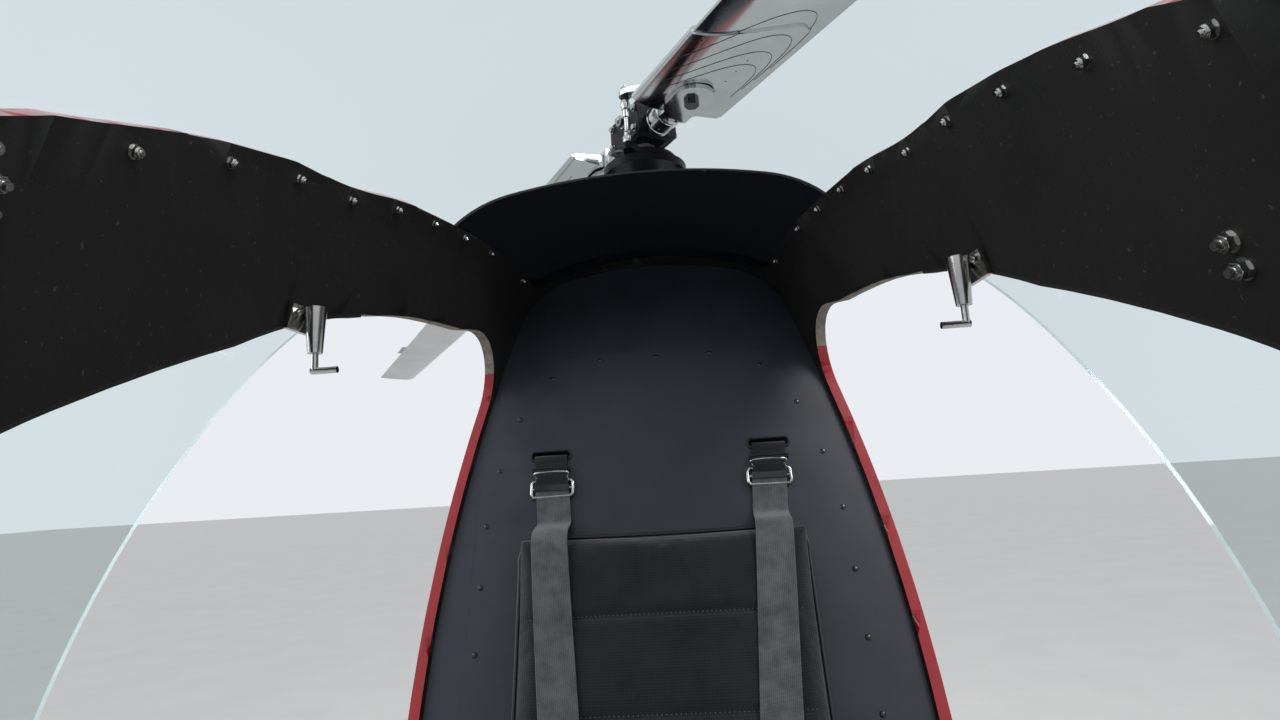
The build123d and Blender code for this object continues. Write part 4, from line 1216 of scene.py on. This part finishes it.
def bolt_ring(count, radius, z, across, high, shift=0.0):
    """Hexagon heads round the mast's axis, each turned with its place; shift in degrees."""
    turns = [math.radians(360 / count * k + shift) for k in range(count)]
    return [hexed((radius * math.cos(a), radius * math.sin(a), z), UPWARD, across, 0.1, high, a)
            for a in turns]


joined("spider_screws", bolt_ring(8, 0.050, PLATE_TOP, 8, 4.6, 22.5), STAINLESS, "rotor")
drive = [turned([(17.0, 0), (23, 0.6), (24, 2), (24, 15), (23, 16.4), (17.0, 17)],
                (0, 0, 1.5582), UPWARD, 48)]
for turn in (0, 1):
    low_pin = on_rotor(0.012, -0.050, PLATE_TOP, turn)
    knee = on_rotor(0.008, -0.064, 1.5600, turn)
    high_pin = on_rotor(0.0, -0.023, 1.5665, turn)
    drive.append(rod([high_pin, knee], 4.2, 14, 1))
    drive.append(rod([knee, low_pin + UPWARD * 0.004], 3.6, 14, 1))
    drive.append(turned([(6.2, -5), (6.6, -4.4), (6.6, 4.4), (6.2, 5)], knee, OUT, 24))
joined("drive_scissors", drive, ALUMINIUM, "rotor")
cap = turned([(9, 8.6), (9, 11.4), (7.6, 12.6), (3, 12.8)], UPWARD * MAST_TOP, UPWARD, 28)
joined("mast_nut", [hexed(UPWARD * MAST_TOP, UPWARD, 30, 0.1, 8.6, 0.15), cap], BRIGHT_STEEL, "rotor")

rod_ends, fixed_bolts = [], []
for x, y in ((-0.066, 0), (0.066, 0), (0, 0.066)):
    top = Vector((x, y, 1.516))
    rod_ends.append(turned([(4.7, -52), (6.4, -50), (6.4, -36), (5.2, -35), (5.2, -30), (8.6, -26),
                            (9.4, -20), (9.4, -6), (8, -1.5), (5, -0.3)], top, UPWARD, 32))
    rod_ends.append(hexed(top, UPWARD, 11, -62, -56, 0.2))
    fixed_bolts.append(hexed(top + UPWARD * 0.015, UPWARD, 7, 0.05, 4.0, 0.5))
joined("control_rod_ends", rod_ends, ANODISED)
joined("swashplate_bolts", fixed_bolts, STAINLESS)
clamps = []
for z, r in ((1.4395, 23.4), (1.5035, 24.2)):
    middle = z + 0.0045
    clamps.append(turned([(r - 1.2, 0), (r, 0.3), (r, 8.7), (r - 1.2, 9)], (0, 0, z), UPWARD, 56))
    clamps.append(plate((0.0, -(r + 2.4) * MM, middle), PORT, UPWARD, rounded(15, 8.4, 1.5), -3, 3.2, 0.8))
    clamps.append(rod([(x, -(r + 3.0) * MM, middle) for x in (0.0070, 0.0135)], 3.1, 14, 1))
joined("boot_clamps", clamps, STAINLESS)
joined("mast_base_bolts", bolt_ring(8, 0.046, 1.144, 10, 6.5), STAINLESS)

# Blades: small flush rivets along the leading edge, edges of the doublers, end caps and trim tabs
BLADE_END = 2.9598
# One tongue's outline as shares of its reach and distances ahead of the blade's axis
TONGUE = [(0.60, 0.074), (0.67, 0.060), (0.76, 0.040), (0.86, 0.014), (0.94, -0.010), (0.99, -0.034),
          (1.0, -0.056), (0.97, -0.070), (0.91, -0.078), (0.80, -0.081), (0.68, -0.081)]
RIVETED = [(float(out), 0.064) for out in np.arange(0.26, 2.93, 0.022)]
RIVETED += [(0.150 + 0.022 * k, 0.060 - 0.0004 * k) for k in range(4)]
RIVETED += [(0.20 + 0.03 * k, -0.030) for k in range(4)]
for turn, letter in ((0, "a"), (1, "b")):
    blade = tree_of(f"rotor_blade_{letter}")

    def on_blade(out, lead, way, blade=blade, turn=turn):
        """Where a ray from that side meets the blade."""
        return met(blade, [(on_rotor(out, lead, HUB_Z, turn) + way * 0.1, -way)])

    marks = [hit for out, lead in RIVETED for way in (UPWARD, -UPWARD) for hit in on_blade(out, lead, way)]
    fasteners(f"blade_rivets_{letter}", marks, {"head": (12, 1.7, 1.2, -0.2, 0.25)}, ENAMEL, "teeter",
              7 + turn, False)
    # Four nested tongues of sheet, bonded one on the other at the root
    edges = []
    for number, reach in enumerate((0.415, 0.362, 0.318, 0.282)):
        for way in (UPWARD, -UPWARD):
            outline = through([(share * reach, lead * (1 - 0.05 * number), 0) for share, lead in TONGUE], 6)
            line = [hit[0] + way * 0.0001 for p in outline for hit in on_blade(p.x, p.y, way)]
            edges.append(rod(line, 0.55, 6, 1))
    joined(f"doubler_edges_{letter}", edges, ENAMEL, "teeter", 60)
    chords = [float(chord) for chord in np.linspace(0.080, -0.098, 30)]
    rows = [(chord, on_blade(2.90, chord, UPWARD)) for chord in chords]
    half_section = [(chord, hits[0][0].z - HUB_Z) for chord, hits in rows if hits]
    rings = []
    for step, grow in ((0, 0.9), (0.0008, 1.0), (0.0047, 1.0), (0.0064, 0.9)):
        outline = [(c, z * grow) for c, z in half_section]
        outline += [(c, -z) for c, z in reversed(outline)]
        rings.append([on_rotor(BLADE_END + step, c, HUB_Z + z, turn) for c, z in outline])
    tab = plate(on_rotor(2.16, -0.106, HUB_Z, turn), OUT, LEADING, rounded(150, 22, 2), -0.4, 0.4, 0.15)
    joined(f"blade_cap_{letter}", [section_grid(rings), tab], ALUMINIUM, "teeter")


def collar(profile, place, way, sides=48):
    """A turned ring from a closed profile of (radius, along), in millimetres."""
    verts, faces = turned(list(profile) + [profile[0]], place, way, sides)
    return verts, faces[:-2]


AFT = Vector((0, 1, 0))
SMALL_SCREW = {"rim": (20, 4.0, 3.8, 0, 0.4), "dome": (20, 3.6, 2.6, 0.4, 1.5),
               "crown": (20, 2.6, 1.0, 1.5, 2.0)}
RIVET = {"flange": (16, 2.4, 2.2, 0, 0.4), "dome": (16, 2.2, 1.0, 0.4, 1.2)}
BIG_NUT = {"washer": (28, 6.0, 5.8, 0, 1.2), "hexagon": (6, 4.9, 4.9, 1.2, 5.2),
           "insert": (24, 3.9, 3.4, 5.2, 6.8), "stud": (18, 2.6, 2.2, 6.8, 9.0)}
LATCH_NUT = {"washer": (20, 4.6, 4.5, 0, 0.8), "hexagon": (6, 3.9, 3.9, 0.8, 4.2),
             "stud": (14, 2.1, 1.8, 4.2, 6.0)}

# Screws on both sides of the joint between cabin and cowl
seam_screws = []
around = [Vector((math.cos(a), 0, math.sin(a))) for a in (math.radians(9 * k + 4.5) for k in range(40))]
for tree, y in ((SHELL, 0.136), (COWL, 0.164)):
    seam_screws += met(tree, [(Vector((0, y, 0.70)) + way, -way) for way in around if way.z >= -0.93])
fasteners("cowl_screws", seam_screws, SMALL_SCREW, STAINLESS, seed=5)

# Nuts inside, where the door hinges and latches are bolted through the wall
hinges = ((1, -0.876, 1.053), (1, -0.876, 1.039), (-1, -0.918, 1.118), (-1, -0.918, 1.104))
hinge_nuts = met(SHELL, [((side * 0.10, y, z), (side, 0, 0)) for side, y, z in hinges])
fasteners("hinge_nuts", hinge_nuts, BIG_NUT, STAINLESS, seed=8)
latches = [((side * 0.10, y, 1.121), (side, 0, 0)) for side in (-1, 1) for y in (-0.645, -0.611)]
fasteners("latch_nuts", met(tree_of("door_latches"), latches), LATCH_NUT, STAINLESS, seed=9)

# Screws round the arched cover of the bulkhead
COVER = tree_of("bulkhead_cover")
arch = [(0.250, 0.045), (0.250, 0.20), (0.250, 0.40), (0.250, 0.60), (0.2465, 0.67), (0.231, 0.745),
        (0.203, 0.825), (0.172, 0.868), (0.120, 0.900), (0.060, 0.903), (0.0, 0.903)]
arch = through([(x, up, 0) for x, up in arch], 20)
cover_screws, run = [], 0.0
for a, b in zip(arch, arch[1:]):
    run += (b - a).length
    if run >= 0.082:
        run = 0.0
        sides = (-1, 1) if b.x > 0.01 else (1,)
        cover_screws += met(COVER, [(on_bulk(side * b.x, b.y, 0.05), -BULK_OFF) for side in sides])
fasteners("cover_screws", cover_screws, SMALL_SCREW, ENAMEL, seed=6)
slots = [on_bulk(side * SLOT_X, SLOT_UP, 0.0046) for side in (-1, 1)]
joined("slot_rims", [framed(spot, PORT, BULK_UP, 60, 14, 6.8, 1.6) for spot in slots], RUBBER, angle=60)

# Rivets along the keel beam, and bolts under the saddles
keel = [((side * 0.2, float(y) + shift, z), (-side, 0, 0)) for side in (-1, 1)
        for y in np.arange(-1.055, 0.125, 0.0425) for z, shift in ((0.010, 0.0), (0.024, 0.02))]
keel_rivets = [found for found in met(tree_of("keel_beam"), keel) if abs(found[0].x) > 0.0745]
fasteners("keel_rivets", keel_rivets, RIVET, ALUMINIUM, seed=10)
saddle_bolts = []
saddle_spots = [Vector((x, y + dy, -0.0708)) for y in (-1.010, -0.250) for x in (-0.038, 0.038)
                for dy in (-0.0175, 0.0175)]
for spot in saddle_spots:
    saddle_bolts.append(turned([(6.8, 0), (7.2, 0.4), (7.2, 1.4), (6.8, 1.5)], spot, -UPWARD, 28))
    saddle_bolts.append(hexed(spot, -UPWARD, 10, 1.5, 7.5, 0.3))
joined("saddle_bolts", saddle_bolts, STAINLESS)

# Rivets that hold the floor, and the tread strips on it
floor_rays = [((side * (0.225 if y > -1.25 else 0.165), float(y), 0.3), (0, 0, -1)) for side in (-1, 1)
              for y in np.arange(-1.40, -0.95, 0.05)]
floor_rivets = [found for found in met(tree_of("floor_panel"), floor_rays) if found[1].z > 0.9]
fasteners("floor_rivets", floor_rivets, RIVET, ALUMINIUM, seed=11)
treads = [plate((side * 0.115, -0.985 - 0.020 * k, 0.160), PORT, AFT, rounded(90, 7, 3), 0, 1.8, 0.7)
          for side in (-1, 1) for k in range(9)]
joined("floor_treads", treads, RUBBER)

# Pedals: rubber ribs on their faces, and pivot pins
PEDAL_X, PEDAL_Y, PEDAL_LEAN = 0.105, -1.225, math.radians(14)
PEDAL_UP = Vector((0, -math.sin(PEDAL_LEAN), math.cos(PEDAL_LEAN)))
PEDAL_OFF = Vector((0, math.cos(PEDAL_LEAN), math.sin(PEDAL_LEAN)))
ribs, pins = [], []
for x in (-PEDAL_X, PEDAL_X):
    foot = Vector((x, PEDAL_Y, 0.206))
    for k in range(6):
        spot = foot + PEDAL_UP * (0.014 + 0.0135 * k) + PEDAL_OFF * 0.0045
        ribs.append(plate(spot, PORT, PEDAL_UP, rounded(68, 6.5, 2.4), -0.2, 2.6, 0.9))
    pins.append(rod([(x + dx, PEDAL_Y, 0.184) for dx in (-0.017, 0.017)], 4.2, 18, 1))
    pins += [hexed((x + dx, PEDAL_Y + dy, 0.172), UPWARD, 7, 0, 3.6, 0.3)
             for dx in (-0.016, 0.016) for dy in (-0.012, 0.012)]
joined("pedal_ribs", ribs, RUBBER)
joined("pedal_pins", pins, STAINLESS)

# Levers: finger ribs, heads, switches and a gaiter round the foot of the stick
STICK_WAY = Vector((0, -0.005, 0.120)).normalized()
stick_top = Vector((0, -0.990, 0.580))
lever_end = Vector((0.218, -0.860, 0.350))
COLLECTIVE_WAY = Vector((0, -0.160, 0.080)).normalized()
grips = [turned([(35.5, 0), (37, 1.2), (37, 3), (31, 6), (34.5, 10), (27, 14), (30, 18), (22, 22), (25, 26),
                 (17, 30), (20, 34), (13, 38), (14.2, 41), (11.3, 43)], (0, -1.030, 0.160), UPWARD, 48)]
finger = [(16.5, -2.6), (18.2, -1.6), (18.6, 0), (18.2, 1.6), (16.5, 2.6)]
grips += [collar(finger, stick_top - STICK_WAY * (0.018 + 0.0115 * k), STICK_WAY, 36) for k in range(8)]
finger = [(16.5, -2.8), (18.0, -1.8), (18.4, 0), (18.0, 1.8), (16.5, 2.8)]
grips += [collar(finger, lever_end - COLLECTIVE_WAY * (0.014 + 0.012 * k), COLLECTIVE_WAY, 36)
          for k in range(7)]
joined("lever_grips", grips, RUBBER, angle=50)
trigger = ((-0.017, -0.004), (-0.026, -0.012), (-0.024, -0.028), (-0.0175, -0.034))
switches = [turned([(15, 5.6), (17.2, 6.2), (17.4, 12), (16, 16), (12, 18.5), (6, 19.2), (0, 19.3)],
                   stick_top, STICK_WAY, 40),
            rod([stick_top + Vector((0, y, z)) for y, z in trigger], 3.2, 14, 6),
            turned([(19, -2), (20.4, 0), (20.4, 14), (19, 16)], lever_end - COLLECTIVE_WAY * 0.116,
                   COLLECTIVE_WAY, 40),
            plate(lever_end + COLLECTIVE_WAY * 0.006, PORT, Vector((0, 0.447, 0.894)), rounded(38, 36, 6),
                  0, 20, 2.5)]
joined("lever_heads", switches, BLACK_COMPOSITE, angle=40)
stick_cap = stick_top + STICK_WAY * 0.0185
lever_cap = lever_end + COLLECTIVE_WAY * 0.026 + UPWARD * 0.004
knobs = [turned([(4.2, 0), (4.2, 2.6), (3.4, 3.6), (0, 3.8)], stick_cap + PORT * 0.006, STICK_WAY, 24),
         turned([(3.0, 0), (2.2, 5.5), (3.2, 7.2), (0, 8.4)], stick_cap - PORT * 0.006, STICK_WAY, 20),
         turned([(5, 0), (5, 3), (4, 4), (0, 4.2)], lever_cap + PORT * 0.008, COLLECTIVE_WAY, 24),
         turned([(2.6, 0), (1.9, 8), (2.9, 10), (0, 11)], lever_cap - PORT * 0.008, COLLECTIVE_WAY, 20)]
joined("lever_switches", knobs, STAINLESS, angle=40)

# Console: a front panel with round gauges and a row of switches
FACE_Y, PANEL_THICK = -1.245, 0.0026
panel = plate((0, FACE_Y, 0.604), (-1, 0, 0), UPWARD, rounded(228, 150, 26), 0.1, 2.6, 0.8)
joined("console_panel", [panel], PANEL_PAINT)
bezels, dials, ticks, needles = [], [], [], []
GAUGES = [(-0.076, 0.640, 33), (0.0, 0.640, 33), (0.076, 0.640, 33),
          (-0.078, 0.577, 21), (-0.026, 0.577, 21), (0.026, 0.577, 21), (0.078, 0.577, 21)]
for number, (x, z, r) in enumerate(GAUGES):
    centre = Vector((x, FACE_Y + PANEL_THICK, z))
    bezel = [(r, -1), (r, 5.2), (r - 1.4, 6.6), (r - 3.4, 6.6), (r - 4.4, 5.0), (r - 4.4, -1)]
    bezels.append(collar(bezel, centre, AFT, 56))
    dials.append(turned([(r - 4.0, 0), (r - 4.0, 1.2), (0, 1.25)], centre, AFT, 48))
    first, last, steps = 225, -45, 24 if r > 30 else 12
    for k in range(steps + 1):
        a = math.radians(first + (last - first) * k / steps)
        out = Vector((-math.cos(a), 0, math.sin(a)))
        long = 4.6 if k % 4 == 0 else 2.4
        spot = centre + out * (r - 6.2 - long / 2) * MM + AFT * 0.0013
        ticks.append(plate(spot, out, out.cross(AFT), rounded(long, 0.7 if k % 4 else 1.0, 0.3, 1),
                           0, 0.15, 0.05))
    a = math.radians(first - (40 + 31 * number) % 250)
    out = Vector((-math.cos(a), 0, math.sin(a)))
    spot = centre + AFT * 0.0028
    needles.append(plate(spot + out * (r * 0.28) * MM, out, out.cross(AFT), rounded(r * 0.86, 1.5, 0.5, 2),
                         0, 0.5, 0.15))
    needles.append(turned([(2.6, -1.4), (2.6, 0.9), (1.8, 1.4), (0, 1.5)], spot, AFT, 20))
joined("gauge_bezels", bezels, ENAMEL, angle=40)
joined("gauge_dials", dials, GAUGE_FACE)
joined("gauge_marks", ticks + needles, DIAL_WHITE)
glass = [turned([(r - 4.3, 0), (r - 4.3, 1.0), (0, 1.0)], (x, FACE_Y + 0.0072, z), AFT, 40)
         for x, z, r in GAUGES]
joined("gauge_glasses", glass, ACRYLIC)
toggles, collars = [], []
SWITCH_Z = 0.545
for k in range(7):
    x = -0.081 + 0.027 * k
    collars.append(turned([(6.2, 0), (6.4, 0.6), (6.4, 2.2), (5.6, 2.6)],
                          (x, FACE_Y + PANEL_THICK, SWITCH_Z), AFT, 6 if k % 2 else 24))
    lean = Vector((0, 0.9, 0.42 if k % 3 else -0.42)).normalized()
    toggles.append(turned([(2.0, 1.5), (1.7, 8), (2.7, 11.5), (2.4, 13.5), (0, 14)],
                          (x, FACE_Y + 0.0030, SWITCH_Z), lean, 18))
joined("switch_collars", collars, BRASS)
joined("toggle_switches", toggles, STAINLESS, angle=40)
panel_screws = [(Vector((x, FACE_Y + PANEL_THICK, z)), AFT)
                for x in (-0.103, 0.103) for z in (0.541, 0.606, 0.662)]
panel_screws += [(Vector((x, FACE_Y - 0.0049, z)), AFT)
                 for x in (-0.030, 0.030) for z in (0.20, 0.34, 0.48)]
fasteners("console_screws", panel_screws, RIVET, ENAMEL, seed=12)

# Exhaust: a rolled lip and a band clamp
EXHAUST_WAY = Vector((-0.72, 0.66, 0.22)).normalized()
pipe_end = Vector((-0.090, 0.300, 0.660)) + EXHAUST_WAY * 0.330
lip = collar([(46.2, -7), (48.4, -7), (49.6, -4.5), (50.2, -1.5), (49.4, 1.0), (47.6, 1.6), (46.3, 0.6)],
             pipe_end, EXHAUST_WAY, 72)
seam = collar([(47.9, -1), (48.9, -0.4), (48.9, 0.4), (47.9, 1)], pipe_end - EXHAUST_WAY * 0.030,
              EXHAUST_WAY, 72)
joined("exhaust_lip", [lip, seam], HOT_STEEL, angle=40)

# Floor, light and world
FLOOR = coated("pale_floor", "#D8D8D6", "#DEDEDC", 0.7, 0.5)
FLOOR_HALF, FLOOR_Z = 60.0, -0.62
corners = [(x * FLOOR_HALF, y * FLOOR_HALF, FLOOR_Z) for x, y in ((-1, -1), (1, -1), (1, 1), (-1, 1))]
floor = link("studio_floor", drawn("studio_floor", corners, [(0, 1, 2, 3)], FLOOR), None)

world = bpy.data.worlds.new("studio")
bpy.context.scene.world = world
sky = blank(world)
path = add(sky, "ShaderNodeLightPath")
# What the camera sees, mirrored or through a sheet, is brighter than what lights the scene
seen = maths(sky, "MAXIMUM", path.outputs["Is Camera Ray"], path.outputs["Is Glossy Ray"])
seen_through = maths(sky, "MAXIMUM", seen, path.outputs["Is Transmission Ray"])
lit = add(sky, "ShaderNodeBackground", Color=linear("#F2F4F7"), Strength=0.75)
shown = add(sky, "ShaderNodeBackground", Color=linear("#E9EDF2"), Strength=1.0)
add(sky, "ShaderNodeOutputWorld", Surface=blend(sky, seen_through, lit, shown))


def softbox(name, place, aim, size, watts):
    lamp = bpy.data.lights.new(name, "AREA")
    lamp.shape, lamp.size, lamp.energy = "DISK", size, watts
    made = bpy.data.objects.new(name, lamp)
    bpy.context.scene.collection.objects.link(made)
    made.location = place
    made.rotation_mode = "QUATERNION"
    made.rotation_quaternion = (Vector(aim) - Vector(place)).to_track_quat("-Z", "Y")


softbox("key", (2.6, -2.4, 4.2), (0, -0.4, 1.0), 2.2, 130)
softbox("fill", (-3.2, -1.2, 2.6), (0, -0.4, 0.9), 2.5, 60)

# Camera at the photograph's place inside the cabin: yaw to starboard, pitch up, roll
FOCAL_PX, FRAME_PX, SENSOR = 674.0, 1280.0, 36.0
EYE = (0.042, -1.20, 0.96)
yaw, pitch, roll = (math.radians(a) for a in (3.5, 9.8, 3.5))
ahead = Vector((-math.sin(yaw) * math.cos(pitch), math.cos(yaw) * math.cos(pitch), math.sin(pitch)))
level = ahead.cross(UPWARD).normalized()
upright = level.cross(ahead)
right = level * math.cos(roll) - upright * math.sin(roll)
up = level * math.sin(roll) + upright * math.cos(roll)
lens = bpy.data.cameras.new("camera")
lens.sensor_width = SENSOR
lens.lens = SENSOR * FOCAL_PX / FRAME_PX
lens.clip_start = 0.01
camera = bpy.data.objects.new("camera", lens)
bpy.context.scene.collection.objects.link(camera)
camera.matrix_world = Matrix.Translation(EYE) @ Matrix((right, up, -ahead)).transposed().to_4x4()
bpy.context.scene.camera = camera

bpy.context.scene.view_settings.view_transform = "Standard"
